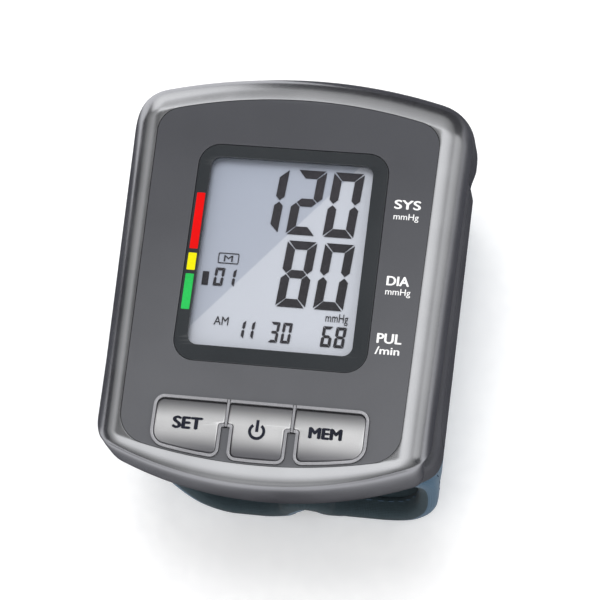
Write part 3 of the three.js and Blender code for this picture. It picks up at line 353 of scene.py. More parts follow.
def floorMaterial(spec):
    # pale to the eye; silver parts mirror it dark, with pale areas in front, at the right and back left
    material, tree, principled = newMaterial('paleFloor', Specular_IOR_Level=0.2)
    node = placeGroup(tree, grainGroup, Light=screenColor(spec['floorColor']),
                      Dark=screenColor(spec['floorDark']), Grain=400.0, Drift=30.0, Smooth=0.7,
                      Rough=0.8, Depth=0.0)
    dress(tree, principled, node)
    rays = addNode(tree, 'ShaderNodeLightPath')
    x, y = placeParts(tree)[:2]
    ahead = maths(tree, 'MULTIPLY_ADD', maths(tree, 'ABSOLUTE', x), spec['frontSlope'], y)
    pale = ramp(tree, ahead, *spec['frontFrom'], 1.0, 0.0)
    behind = maths(tree, 'MULTIPLY', ramp(tree, x, *spec['backLeftX'], 1.0, 0.0),
                   ramp(tree, y, *spec['backLeftY']))
    pale = maths(tree, 'MAXIMUM', pale, maths(tree, 'MULTIPLY', behind, spec['backLeftGain']))
    pale = maths(tree, 'MAXIMUM', pale, ramp(tree, x, *spec['rightX'], 0.0, spec['rightGain']))
    mirror = mixColors(tree, pale, screenColor(spec['floorMirror']), screenColor(spec['frontMirror']))
    seen = mixColors(tree, rays.outputs['Is Glossy Ray'], node.outputs['Color'], mirror)
    tree.links.new(seen, principled.inputs['Base Color'])
    principled.inputs['Emission Color'].default_value = (1.0, 1.0, 1.0, 1.0)
    mirrored = maths(tree, 'MULTIPLY', maths(tree, 'MULTIPLY', pale, rays.outputs['Is Glossy Ray']),
                     spec['frontLift'])
    tree.links.new(maths(tree, 'MULTIPLY_ADD', rays.outputs['Is Camera Ray'], spec['floorLift'], mirrored),
                   principled.inputs['Emission Strength'])
    return material


def addFloor(spec):
    half = spec['floorHalf']
    mesh = bpy.data.meshes.new('studioFloor')
    mesh.from_pydata([(-half, -half, 0), (half, -half, 0), (half, half, 0), (-half, half, 0)], [],
                     [(0, 1, 2, 3)])
    floor = addObject('studioFloor', mesh)
    floor.location.z = -spec['floorGap']
    floor.data.materials.append(floorMaterial(spec))


def addFlags(spec):
    # a low dark band all round, seen by reflections only, as black cards round a product would be
    count = spec['flagSides']
    radius = spec['flagRadius']
    rows = [(radius, spec['flagFoot']), (radius * spec['flagFlare'], spec['flagHeight'])]
    points = [(*onCircle(0, 0, reach, 2 * math.pi * i / count), z) for reach, z in rows
              for i in range(count)]
    faces = [(i, (i + 1) % count, count + (i + 1) % count, count + i) for i in range(count)
             if not any(low < i / count < high for low, high in spec['flagGaps'])]
    mesh = bpy.data.meshes.new('darkFlags')
    mesh.from_pydata(points, [], faces)
    flags = addObject('darkFlags', mesh)
    flags.visible_camera = False
    flags.visible_diffuse = False
    flags.visible_shadow = False
    flags.visible_transmission = False
    flags.data.materials.append(grainMaterial('flagCloth', spec['flagColor'], spec['flagColor'], 0.9, 0.95))


def toward(tree, direction):
    # 1 where a ray goes the given way, less beside it
    node = addNode(tree, 'ShaderNodeVectorMath', operation='DOT_PRODUCT')
    tree.links.new(addNode(tree, 'ShaderNodeTexCoord').outputs['Generated'], node.inputs[0])
    node.inputs[1].default_value = Vector(direction).normalized()
    return node.outputs['Value']


def addSky(spec):
    world = bpy.data.worlds.new('studioSky')
    scene.world = world
    world.use_nodes = True
    tree = world.node_tree
    tree.nodes.clear()
    parts = placeParts(tree, 'Generated')
    level = ramp(tree, parts[2], *spec['riseFrom'], spec['horizon'], spec['rise'], 'LINEAR')
    level = maths(tree, 'ADD', level, ramp(tree, parts[2], *spec['ringFrom'], 0.0, spec['ring']))
    aside = maths(tree, 'ABSOLUTE', parts[0])
    level = maths(tree, 'MULTIPLY', level, maths(tree, 'MULTIPLY_ADD', aside, -spec['sideFall'], 1.0))
    for direction, start, full, gain in spec['cards']:
        level = maths(tree, 'ADD', level, ramp(tree, toward(tree, direction), start, full, 0.0, gain))
    level = maths(tree, 'MULTIPLY', level, ramp(tree, toward(tree, spec['dimSpot']), *spec['dimFrom'], 1.0,
                                                spec['dimLevel']))
    soft = addNode(tree, 'ShaderNodeBackground')
    rays = addNode(tree, 'ShaderNodeLightPath')
    mirrored = addNode(tree, 'ShaderNodeMix')
    tree.links.new(rays.outputs['Is Glossy Ray'], mirrored.inputs[0])
    mirrored.inputs[2].default_value = spec['ambient']
    tree.links.new(level, mirrored.inputs[3])
    tree.links.new(mirrored.outputs[0], soft.inputs['Strength'])
    white = addNode(tree, 'ShaderNodeBackground')
    mix = addNode(tree, 'ShaderNodeMixShader')
    tree.links.new(rays.outputs['Is Camera Ray'], mix.inputs[0])
    tree.links.new(soft.outputs[0], mix.inputs[1])
    tree.links.new(white.outputs[0], mix.inputs[2])
    tree.links.new(mix.outputs[0], addNode(tree, 'ShaderNodeOutputWorld').inputs[0])


addFloor(room)
addFlags(room)
addSky(room)
addLamp('keyLamp', **room['keyLamp'])
addLamp('fillLamp', **room['fillLamp'])
print('room ready')


# mesh helpers, in millimetres
def evaluatedMesh(thing):
    bpy.context.view_layer.update()
    graph = bpy.context.evaluated_depsgraph_get()
    return bpy.data.meshes.new_from_object(thing.evaluated_get(graph))


def applyModifiers(piece):
    mesh = evaluatedMesh(piece)
    piece.modifiers.clear()
    piece.data = mesh


def smoothShade(mesh):
    mesh.polygons.foreach_set('use_smooth', [True] * len(mesh.polygons))


def finishMesh(piece, sharpAngle=34.0):
    # smooth shading with true creases, and flats that stay flat
    mesh = piece.data
    work = bmesh.new()
    work.from_mesh(mesh)
    for edge in work.edges:
        if len(edge.link_faces) == 2 and edge.calc_face_angle(0.0) > math.radians(sharpAngle):
            edge.smooth = False
    work.to_mesh(mesh)
    work.free()
    smoothShade(mesh)
    mesh.update()
    weighted = piece.modifiers.new('normals', 'WEIGHTED_NORMAL')
    weighted.weight = 100
    weighted.keep_sharp = True
    applyModifiers(piece)
    return piece


def linkPiece(name, mesh, material, body='case', slotName=None, nodes=()):
    piece = addObject(name, mesh)
    mesh.materials.clear()
    mesh.materials.append(material)
    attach(piece, body)
    if nodes:
        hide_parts(*nodes)
    return piece


def meshOf(name, points, faces):
    mesh = bpy.data.meshes.new(name)
    mesh.from_pydata([tuple(c * mm for c in p) for p in points], [], faces)
    mesh.update()
    return mesh


def ringMesh(name, rings, loop=False):
    # quads between rings of points, all counter-clockwise from above, lowest first
    count = len(rings[0])
    points = [p for ring in rings for p in ring]
    faces = []
    for level in range(len(rings) if loop else len(rings) - 1):
        low = level * count
        high = ((level + 1) % len(rings)) * count
        for step in range(count):
            after = (step + 1) % count
            faces.append((low + step, low + after, high + after, high + step))
    if not loop:
        last = (len(rings) - 1) * count
        faces.append(tuple(reversed(range(count))))
        faces.append(tuple(last + step for step in range(count)))
    return meshOf(name, points, faces)


def at(outline, z):
    return [(x, y, z) for x, y in outline]


def blend(low, high, share):
    return tuple(a + (b - a) * share for a, b in zip(low, high))


def between(first, second, share):
    return [blend(a, b, share) for a, b in zip(first, second)]


def rectangle(lowX, highX, lowY, highY):
    return [(lowX, lowY), (highX, lowY), (highX, highY), (lowX, highY)]


def slabMesh(name, outline, lowZ, highZ):
    return ringMesh(name, [at(outline, lowZ), at(outline, highZ)])


def shifted(outline, margin):
    # a counter-clockwise outline moved outwards along its corner normals
    moved = []
    count = len(outline)
    leastCosine = 0.3
    for index, (x, y) in enumerate(outline):
        before = outline[index - 1]
        after = outline[(index + 1) % count]
        first = Vector((y - before[1], before[0] - x)).normalized()
        second = Vector((after[1] - y, x - after[0])).normalized()
        middle = (first + second).normalized()
        reach = margin / max(middle.dot(first), leastCosine)
        moved.append((x + middle.x * reach, y + middle.y * reach))
    return moved


def plateMesh(name, outer, holes, lowZ, highZ, edge=0.0, crown=None, strips=0):
    # flat plate with holes and a small rounded top edge; a crown bends its top along Y
    work = bmesh.new()
    rows = [(lowZ, 0.0), (highZ, 0.0)]
    bend, slack = 0.3, 0.01
    if edge:
        rows = [(lowZ, 0.0), (highZ - edge, 0.0), (highZ - edge * bend, bend), (highZ, 1.0)]
    tops, bottoms = [], []
    for outline, outward in [(outer, 1)] + [(hole, -1) for hole in holes]:
        rings = []
        for z, share in rows:
            ring = shifted(outline, -outward * share * edge)
            rings.append([work.verts.new((x * mm, y * mm, z * mm)) for x, y in ring])
        for low, high in zip(rings, rings[1:]):
            for step in range(len(low)):
                after = (step + 1) % len(low)
                quad = [low[step], low[after], high[after], high[step]]
                work.faces.new(quad if outward > 0 else quad[::-1])
        tops.append(rings[-1])
        bottoms.append(rings[0])
    for loops, normal in ((tops, 1), (bottoms, -1)):
        corners = [vertex for ring in loops for vertex in ring]
        for trio in tessellate_polygon([[vertex.co for vertex in ring] for ring in loops]):
            face = work.faces.new([corners[i] for i in trio])
            face.normal_update()
            if face.normal.z * normal < 0:
                face.normal_flip()
    low, high = min(y for x, y in outer), max(y for x, y in outer)
    for step in range(1, strips):
        y = (low + (high - low) * step / strips) * mm
        everything = work.faces[:] + work.edges[:] + work.verts[:]
        bmesh.ops.bisect_plane(work, geom=everything, plane_co=(0, y, 0), plane_no=(0, 1, 0))
    if crown:
        for vertex in work.verts:
            if vertex.co.z > (highZ - edge - slack) * mm:
                vertex.co.z += crown(vertex.co.y / mm) * mm
    mesh = bpy.data.meshes.new(name)
    work.to_mesh(mesh)
    work.free()
    return mesh


def joinMeshes(name, meshes):
    work = bmesh.new()
    for mesh in meshes:
        work.from_mesh(mesh)
    joined = bpy.data.meshes.new(name)
    work.to_mesh(joined)
    work.free()
    return joined


def carve(mesh, tools):
    # boolean steps on one mesh: each tool is a mesh and DIFFERENCE, INTERSECT or UNION
    target = addObject('carving', mesh)
    helpers = []
    for index, (toolMesh, operation) in enumerate(tools):
        tool = addObject('carvingTool', toolMesh)
        tool.hide_render = True
        helpers.append(tool)
        step = target.modifiers.new('carve%d' % index, 'BOOLEAN')
        step.object = tool
        step.operation = operation
        step.solver = 'EXACT'
    result = evaluatedMesh(target)
    for item in helpers + [target]:
        bpy.data.objects.remove(item)
    return result


def postMesh(x, y, radius, lowZ, highZ, sides=32):
    ring = [onCircle(x, y, radius, 2 * math.pi * i / sides) for i in range(sides)]
    return slabMesh('post', ring, lowZ, highZ)


def roundedOutline(middleX, middleY, width, length, radius, steps=10):
    points = []
    for signX, signY, start in ((1, -1, -90), (1, 1, 0), (-1, 1, 90), (-1, -1, 180)):
        centreX = middleX + signX * (width / 2 - radius)
        centreY = middleY + signY * (length / 2 - radius)
        for step in range(steps + 1):
            points.append(onCircle(centreX, centreY, radius, math.radians(start + 90 * step / steps)))
    return points


# how many spans the outlines of the case have on each stretch
outlineSteps = {'crown': 20, 'corner': 12, 'side': 10}


def bowedOutline(shape):
    # two bowed ends and two straight sides that may lean, with round corners between them
    crownSteps, cornerSteps, sideSteps = outlineSteps.values()
    half, taper = shape['half'], shape['taper']
    slant = math.hypot(1, taper)
    right = []

    def cornerCentre(apex, arc, radius, sign):
        base = half - radius * slant
        middle = apex - sign * arc
        a = 1 + taper * taper
        b = 2 * (base * taper - middle)
        c = base * base + middle * middle - (arc - radius) ** 2
        y = (-b + sign * math.sqrt(b * b - 4 * a * c)) / (2 * a)
        return base + taper * y, y, math.atan2(y - middle, base + taper * y), middle

    def arcPoints(x, y, radius, start, end, steps, first):
        for step in range(first, steps + 1):
            right.append(onCircle(x, y, radius, start + (end - start) * step / steps))

    sideAngle = math.atan2(-taper, 1)
    lowX, lowY, lowAngle, lowMiddle = cornerCentre(shape['lowY'], shape['lowArc'], shape['lowCorner'], -1)
    topX, topY, topAngle, topMiddle = cornerCentre(shape['topY'], shape['topArc'], shape['corner'], 1)
    arcPoints(0, lowMiddle, shape['lowArc'], -math.pi / 2, lowAngle, crownSteps, 0)
    arcPoints(lowX, lowY, shape['lowCorner'], lowAngle, sideAngle, cornerSteps, 1)
    start = right[-1]
    end = onCircle(topX, topY, shape['corner'], sideAngle)
    for step in range(1, sideSteps):
        right.append(blend(start, end, step / sideSteps))
    arcPoints(topX, topY, shape['corner'], sideAngle, topAngle, cornerSteps, 0)
    arcPoints(0, topMiddle, shape['topArc'], topAngle, math.pi / 2, crownSteps, 1)
    return right + [(-x, y) for x, y in reversed(right[1:-1])]


def drawnIn(shape, inset):
    return bowedOutline({**shape, 'half': shape['half'] - inset, 'topY': shape['topY'] - inset,
                         'topArc': shape['topArc'] - inset, 'lowY': shape['lowY'] + inset,
                         'lowArc': shape['lowArc'] - inset, 'corner': shape['corner'] - inset * 0.7,
                         'lowCorner': shape['lowCorner'] - inset * 0.7})


def smoothRows(rows, steps):
    # Catmull-Rom between rows of numbers
    result = []
    for index in range(len(rows) - 1):
        a, b = rows[index], rows[index + 1]
        before = rows[index - 1] if index else [2 * p - q for p, q in zip(a, b)]
        after = rows[index + 2] if index + 2 < len(rows) else [2 * q - p for p, q in zip(a, b)]
        for step in range(steps):
            t = step / steps
            result.append([0.5 * (2 * q + (r - p) * t + (2 * p - 5 * q + 4 * r - s) * t * t
                                  + (3 * q - p - 3 * r + s) * t ** 3)
                           for p, q, r, s in zip(before, a, b, after)])
    result.append(list(rows[-1]))
    return result


# levels and outlines of the case
case = {
    'faceZ': 45.0, 'recessZ': 43.5, 'floorZ': 41.7, 'rimZ': 38.6, 'backZ': 23.5, 'rearTopZ': 38.3,
    'bayFloorZ': 25.4, 'gap': 0.3, 'sideGap': 0.25, 'seam': 0.07, 'wall': 1.9, 'rimDraft': 0.5,
}
beltShape = {'half': 35.3 - 0.008 * 34.3, 'taper': 0.008, 'topY': 44.3, 'topArc': 108, 'lowY': -44.3,
             'lowArc': 80, 'corner': 10, 'lowCorner': 8}
frameShape = {'half': 34.3, 'taper': 0.026, 'topY': 41.6, 'topArc': 118, 'lowY': -43.7, 'lowArc': 78,
              'corner': 8.5, 'lowCorner': 6.5}
panelShape = {'half': 28.5, 'taper': 0.018, 'topY': 36.15, 'topArc': 102, 'lowY': -39.9, 'lowArc': 108,
              'corner': 5.2, 'lowCorner': 6.4}

# silver frame: the face rolls over its two long sides and its two bowed ends, each along its own line,
# and hangs down as a chin over the low end of the rear case
chin = {
    'fromY': -34.4, 'fullY': -38.6, 'lowZ': 31.6, 'lip': 0.1, 'thick': 0.65, 'room': 0.8,
    'profile': [(0, 0), (0.42, 0.12), (0.72, 0.34), (0.92, 0.66), (1, 0.9), (0.97, 1)],
}


def chinShare(point):
    share = clamp((chin['fromY'] - point[1]) / (chin['fromY'] - chin['fullY']))
    return share * share * (3 - 2 * share)


silverFrame = {
    'shares': (0.0, 0.05, 0.1, 0.16, 0.22, 0.28, 0.34, 0.4, 0.46, 0.52, 0.58, 0.64, 0.7, 0.75, 0.8, 0.84,
               0.88, 0.915, 0.945, 0.97, 0.985, 1.0),
    'sideTilts': ((0, 4), (0.1, 10), (0.29, 20), (0.5, 33), (0.67, 46), (0.85, 58), (1, 76)),
    'endTilts': ((0, 12), (0.4, 19), (0.7, 31), (0.9, 46), (1, 60)), 'cornerFrom': 0.84,
    'sideWidth': 5.8, 'endWidth': 3.8, 'mostDrop': 5.9, 'proud': 0.02,
    'light': '#c9cacd', 'dark': '#bfc0c3',
}


def arcY(shape, key, arc, sign, x):
    return shape[key] - sign * (shape[arc] - math.sqrt(shape[arc] ** 2 - x * x))


def rolledDrop(tilts, width, share):
    # depth reached by a section whose tilt in degrees is given at shares of its width
    depth = 0.0
    steps = 12
    for (low, first), (high, last) in zip(tilts, tilts[1:]):
        reach = min(share, high) - low
        for step in range(steps if reach > 0 else 0):
            here = (step + 0.5) / steps * reach / (high - low)
            depth += math.tan(math.radians(first + (last - first) * here)) * reach / steps * width
    return depth


beltShapePoints = bowedOutline(beltShape)


def frameDrop(x, y, out):
    # how far the frame lies below the face: a straight roll per side, a bowed roll per end
    f = silverFrame
    inner = panelShape['half'] + panelShape['taper'] * y
    outer = frameShape['half'] + frameShape['taper'] * y
    side = clamp((abs(x) - inner) / (outer - inner))
    sign, key, arc = (1, 'topY', 'topArc') if y > 0 else (-1, 'lowY', 'lowArc')
    start, stop = arcY(panelShape, key, arc, sign, x), arcY(frameShape, key, arc, sign, x)
    end = clamp((y - start) / (stop - start))
    drop = rolledDrop(f['sideTilts'], outer - inner, side) + rolledDrop(f['endTilts'], abs(stop - start), end)
    far = max(out - f['cornerFrom'], 0.0) / (1 - f['cornerFrom'])
    least = rolledDrop(f['endTilts'], f['endWidth'], 1.0) * (1 - (1 - far ** 2) ** 0.5)
    return min(max(drop, least), f['mostDrop'])


def buildFrame():
    inner, outer = bowedOutline(panelShape), bowedOutline(frameShape)
    hem = drawnIn(panelShape, -case['seam'])
    start = case['seam'] / silverFrame['sideWidth']
    faceZ = case['faceZ']
    rings = [at(hem, case['recessZ']), at(hem, faceZ)]
    for out in silverFrame['shares']:
        if out > start + 0.01:
            ring = between(inner, outer, out)
            rings.append([(x, y, faceZ + silverFrame['proud'] - frameDrop(x, y, out)) for x, y in ring])
    rim = at(drawnIn(frameShape, case['rimDraft']), case['rimZ'])
    hang = [chinShare(point) for point in beltShapePoints]
    apron = at(drawnIn(beltShape, -chin['lip']), chin['lowZ'])
    top = rings[-1]
    for out, down in smoothRows(chin['profile'], 3)[1:]:
        row = []
        for here, plain, low, share in zip(top, rim, apron, hang):
            straight = blend(here, plain, down)
            hung = blend(here[:2], low[:2], out) + (here[2] + (low[2] - here[2]) * down,)
            row.append(blend(straight, hung, share))
        rings.append(row)
    inside = drawnIn(frameShape, case['rimDraft'] + case['wall'])
    back = drawnIn(beltShape, chin['thick'] - chin['lip'])
    behind = [blend(a, b, share) for a, b, share in zip(inside, back, hang)]
    rings.append([(x, y, low[2]) for (x, y), low in zip(behind, rings[-1])])
    rings += [at(behind, case['rimZ'] + 0.02), at(inside, case['rimZ'] + 0.04), at(inside, case['floorZ']),
              at(hem, case['floorZ'])]
    mesh = ringMesh('silverFrame', list(reversed(rings)), loop=True)
    material = grainMaterial('silverLacquer', silverFrame['light'], silverFrame['dark'], 0.2, 0.26,
                             grain=6000.0, drift=90.0, depth=0.000003, Metallic=1.0)
    finishMesh(linkPiece('silverFrame', mesh, material, 'case', 'silver_frame', ['front_housing']), 50)


# key outlines, as on the real row of three with a notch between neighbours
keyRow = {
    'topY': -28.2, 'lowY': -38.7, 'half': 20.6, 'lowArc': 108, 'divider': 6.55, 'seam': 0.45,
    'notchHalf': 1.65, 'notchTopY': -32.1, 'notchCorner': 0.7, 'corner': 0.9, 'outerCorner': 2.6,
    'rise': 0.45, 'crown': 0.55, 'crownOver': 0.65, 'capGrow': 0.17, 'edge': 0.35, 'skirt': 1.1,
    'rim': 0.4, 'rimRise': 0.5, 'rimGrow': 0.16, 'rimBevel': 0.12, 'bar': 0.46, 'barOver': 0.12,
    'barRise': 0.03, 'rimFoot': 0.3, 'barFoot': 0.4, 'strips': 14, 'holeZs': (40, 50),
    'bodies': ('set_key', 'power_key', 'memory_key'),
    'nodes': ('set_button', 'power_button', 'memory_button'),
    # top and low colours with their fades: painted shade at a key's top and low edges, a painted highlight in
    # its middle
    'topShadeColors': ('#ededee', '#77777a'), 'topShadeFade': (-32.4, -28.2),
    'lowShadeColors': ('#77777b', '#ffffff'), 'lowShadeFade': (-38.4, -33.4), 'shade': 0.94,
}


def roundCorners(corners):
    # corners are x, y and radius; a radius of 0 keeps the point
    steps = 6
    points = []
    for index, (x, y, radius) in enumerate(corners):
        corner = Vector((x, y))
        before = (Vector(corners[index - 1][:2]) - corner).normalized()
        after = (Vector(corners[(index + 1) % len(corners)][:2]) - corner).normalized()
        half = math.acos(max(-1, min(1, before.dot(after)))) / 2
        if radius <= 0 or half > 1.5:
            points.append((x, y))
            continue
        middle = corner + (before + after).normalized() * radius / math.sin(half)
        first = corner + before * radius / math.tan(half) - middle
        last = corner + after * radius / math.tan(half) - middle
        start = math.atan2(first.y, first.x)
        turn = math.atan2(last.y, last.x) - start
        turn -= 2 * math.pi * round(turn / (2 * math.pi))
        for step in range(steps + 1):
            points.append(onCircle(middle.x, middle.y, radius, start + turn * step / steps))
    return points


def keyLowAt(x, grow):
    arc = keyRow['lowArc'] + grow
    return keyRow['lowY'] - grow + arc - math.sqrt(arc * arc - x * x)


def keyOutline(index, grow):
    k = keyRow
    seamCorner = 0 if grow > k['seam'] else k['corner'] / 2
    convex, concave = k['corner'] + grow, max(k['notchCorner'] - grow, k['notchCorner'] / 4)
    topY, notchY = k['topY'] + grow, k['notchTopY'] - grow
    if index == 1:
        side, waist = k['divider'] - k['seam'] + grow, k['divider'] - k['notchHalf'] + grow
        lows = [(x, keyLowAt(x, grow), 0) for x in (-waist / 2, 0, waist / 2)]
        return roundCorners([(-waist, keyLowAt(waist, grow), convex), *lows,
                             (waist, keyLowAt(waist, grow), convex), (waist, notchY, concave),
                             (side, notchY, seamCorner), (side, topY, seamCorner), (-side, topY, seamCorner),
                             (-side, notchY, seamCorner), (-waist, notchY, concave)])
    side, waist = k['divider'] + k['seam'] - grow, k['divider'] + k['notchHalf'] - grow
    end = k['half'] + grow
    lows = [(x, keyLowAt(x, grow), 0) for x in [waist + (end - waist) * s for s in (0.3, 0.5, 0.7)]]
    outline = roundCorners([(waist, keyLowAt(waist, grow), convex), *lows,
                            (end, keyLowAt(end, grow), k['outerCorner'] + grow),
                            (end, topY, k['outerCorner'] / 2 + grow), (side, topY, seamCorner),
                            (side, notchY, seamCorner), (waist, notchY, concave)])
    return outline if index == 2 else [(-x, y) for x, y in reversed(outline)]


def keyBow(y):
    # how far a key's dished top lies below its middle line
    k = keyRow
    half = (k['topY'] - k['lowY']) / 2 + k['crownOver']
    radius = (half ** 2 + k['crown'] ** 2) / (2 * k['crown'])
    away = min(abs(y - (k['topY'] + k['lowY']) / 2), half)
    return math.sqrt(radius ** 2 - away ** 2) - radius


def keyHoles(grow):
    # carving steps that open a hole round each key, through everything from case to face
    return [(plateMesh('hole', keyOutline(i, grow), [], *keyRow['holeZs']), 'DIFFERENCE') for i in range(3)]


def buildKeys():
    k = keyRow
    topZ = case['faceZ'] + k['rise']
    material = keyMaterial()
    for index, (node, body) in enumerate(zip(k['nodes'], k['bodies'])):
        mesh = plateMesh(node + 'Cap', keyOutline(index, k['capGrow']), [], case['floorZ'] - k['skirt'], topZ,
                         edge=k['edge'], crown=keyBow, strips=k['strips'])
        finishMesh(linkPiece(node.replace('_button', 'Key'), mesh, material, body, 'key', [node]), 40)


def keyMaterial():
    # silver lacquer with painted light: painted shade darkens its top and low edges and a painted highlight
    # brightens its middle, as light falls on a pressed dish
    material, tree, principled = newMaterial('keySilverPaintedShade', Metallic=0.85)
    upper, lower = [placeFade(tree, *keyRow[colors], *keyRow[fade]).outputs['Color']
                    for colors, fade in (('topShadeColors', 'topShadeFade'), ('lowShadeColors', 'lowShadeFade'))]
    both = mixColors(tree, 1.0, upper, lower, 'MULTIPLY')
    dressOver(tree, principled, both, keyRow['shade'], Grain=5000.0, Drift=120.0, Smooth=0.38, Rough=0.46,
              Depth=0.000003)
    return material


def buildKeyRim():
    k = keyRow
    topZ = case['faceZ'] + k['rimRise']
    outer = [plateMesh('rimOuter', keyOutline(i, case['sideGap'] + k['rim'] + k['rimGrow']), [],
                       case['recessZ'] + k['rimFoot'], topZ) for i in range(3)]
    steps = [(mesh, 'UNION') for mesh in outer[1:]] + keyHoles(case['sideGap'])
    half = k['bar'] / 2
    high = k['topY'] + case['sideGap'] + k['rim'] + k['barOver']
    low = k['notchTopY'] - case['sideGap'] - k['rim'] - k['barOver']
    bars = [plateMesh('rimBar', rectangle(x - half, x + half, low, high), [], case['recessZ'] + k['barFoot'],
                      topZ + k['barRise']) for x in (-k['divider'], k['divider'])]
    mesh = carve(outer[0], steps)
    material = grainMaterial('rimChrome', '#a9a9ad', '#9d9da1', 0.3, 0.38, depth=0.000002, Metallic=0.4)
    piece = linkPiece('keyRim', mesh, material, 'case', 'key_rim', ['key_frame'])
    bevel = piece.modifiers.new('edge', 'BEVEL')
    bevel.width = k['rimBevel'] * mm
    bevel.segments = 2
    bevel.limit_method = 'ANGLE'
    bevel.angle_limit = math.radians(60)
    applyModifiers(piece)
    finishMesh(piece, 40)
    linkPiece('keyRimBars', joinMeshes('keyRimBars', bars), material, 'case', 'key_rim')


# face: grey panel let into the frame, slate border round the display
windowSpec = {
    'width': 38.5, 'length': 45.2, 'y': 2.85, 'corner': 4.2, 'topZ': 44.88, 'thickness': 0.8,
    'viewX': -0.25, 'viewY': 3.2, 'viewWidth': 33.1, 'viewLength': 39.6, 'viewCorner': 2.0,
}
# the panel's grey runs from its top colour to its low one: painted shade, darker towards the top of the face
faceLook = {
    'top': '#4e4f54', 'low': '#66676b', 'fade': (-36, 34), 'border': '#24282c', 'borderDark': '#212529',
    'floor': ('#55565a', '#4b4c50'), 'panelThick': 1.2, 'panelEdge': 0.15, 'borderEdge': 0.12,
    'floorGrow': 0.2, 'floorBelow': 0.02, 'viewRoom': 1.45,
}


def windowOutline(grow):
    w = windowSpec
    return roundedOutline(0, w['y'], w['width'] + 2 * grow, w['length'] + 2 * grow, w['corner'] + grow)


def viewOutline(grow):
    w = windowSpec
    return roundedOutline(w['viewX'], w['viewY'], w['viewWidth'] + 2 * grow, w['viewLength'] + 2 * grow,
                          w['viewCorner'] + grow)


def buildFace():
    f, faceZ = faceLook, case['faceZ']
    plate = plateMesh('panel', bowedOutline(panelShape), [windowOutline(case['sideGap'])],
                      faceZ - f['panelThick'], faceZ, edge=f['panelEdge'])
    mesh = carve(plate, keyHoles(case['sideGap'] * 2 + keyRow['rim']))
    # grey with painted shade, darker towards the top of the face
    material = fadeMaterial('panelGreyPaintedShade', f['low'], f['top'], *f['fade'], 0.34, 0.42, 0.95, Metallic=0.35)
    finishMesh(linkPiece('facePanel', mesh, material, 'case', 'panel', ['face_panel']), 30)
    floorMesh = plateMesh('housingFloor', shifted(bowedOutline(panelShape), f['floorGrow']),
                          [viewOutline(f['viewRoom'])], case['floorZ'], case['recessZ'] - f['floorBelow'])
    floorMesh = carve(floorMesh, keyHoles(case['sideGap']))
    material = grainMaterial('mouldedDark', *f['floor'], 0.5, 0.6)
    finishMesh(linkPiece('housingFloor', floorMesh, material, 'case', 'silver_frame', ['front_housing']))
    border = plateMesh('windowBorder', windowOutline(case['sideGap'] - case['seam']), [viewOutline(0)],
                       windowSpec['topZ'] - windowSpec['thickness'], windowSpec['topZ'],
                       edge=f['borderEdge'])
    material = grainMaterial('slateBorder', f['border'], f['borderDark'], 0.3, 0.4, depth=0.000003,
                             Coat_Weight=0.3, Coat_Roughness=0.1)
    finishMesh(linkPiece('windowBorder', border, material, 'case', 'window_border', ['display_frame']), 30)


# rear case with its battery door
rearCase = {
    'profile': [(1, 0), (0.6, 0.08), (0.26, 0.36), (0.07, 0.72), (0, 1.1)], 'round': 5.2, 'inset': 9,
    'shoulderDrop': 2.6, 'shoulderShare': 0.35, 'doorMiddleY': -2.0, 'doorMiddleZ': 30.95,
    'doorLength': 55.6, 'doorDepth': 11.4, 'doorCorner': 3, 'doorInnerX': 32.8, 'notchRadius': 5.2,
    'notchBite': 1.1, 'screwX': 27.5, 'screwY': 36.0, 'boss': 3.0, 'bossTrim': 1.3, 'bossLift': 0.7,
    'headRadius': 2.35, 'headZs': (20, 31.5), 'screwRadius': 1.4, 'screwZs': (23, 41), 'portX': -3,
    'portY': 6, 'portRadius': 2.5, 'portZs': (20, 27), 'cuffScrewX': -13.98, 'cuffScrewYs': (-25.55, 17.95),
    'holeSides': 20, 'pastX': 40, 'pastZ': 45, 'notchSides': 48, 'bayWallX': 8.85, 'bayLowY': -28.3,
    'bayEndY': 23.7, 'bayOuterX': 33.5, 'bayWall': 1.2, 'bayTopZ': 36.3, 'tongueHalf': 0.45,
    'tongueGap': 0.3, 'tongueIn': 3.4, 'tongueOut': 0.85, 'tongueRise': 2.5, 'sideX': 35.3,
    'shoulderLead': 1.2, 'shoulderFrom': -3.2, 'tuckAbove': 0.6, 'tuckOver': 3, 'tuckFade': 1.2,
    'light': '#4b4c52', 'dark': '#414248',
}


def rearRings(inset, lowZ, highZ):
    # the case from its rolled lower edge to its rim; its outer skin is tucked in under the chin
    r = rearCase
    rings = [at(drawnIn(beltShape, max(r['inset'] * drawn, 0) + inset), lowZ + r['round'] * rise)
             for drawn, rise in smoothRows(r['profile'], 4)]
    belt = drawnIn(beltShape, inset)
    rim = drawnIn(frameShape, case['rimDraft'] + inset)
    top = case['rearTopZ']
    rows = smoothRows([(0, -r['shoulderDrop'] - r['shoulderLead']), (0.0, -r['shoulderDrop']),
                       (r['shoulderShare'], -r['shoulderDrop'] / 3), (1.0, 0.0)], 4)
    rings += [at(between(belt, rim, max(share, 0)), top + drop) for share, drop in rows
              if drop > r['shoulderFrom']]
    if highZ > top:
        rings.append(at(rim, highZ))
    if inset:
        return rings
    tucked = []
    for ring in rings:
        level = ring[0][2]
        begun = clamp((level - lowZ - r['tuckAbove']) / r['tuckOver'])
        left = clamp((top - level) / r['tuckFade'])
        tight = drawnIn(beltShape, chin['room'] * begun * left)
        tucked.append([(x + (tx - bx) * share, y + (ty - by) * share, z)
                       for (x, y, z), (bx, by), (tx, ty), share in
                       zip(ring, beltShapePoints, tight, map(chinShare, beltShapePoints))])
    return tucked


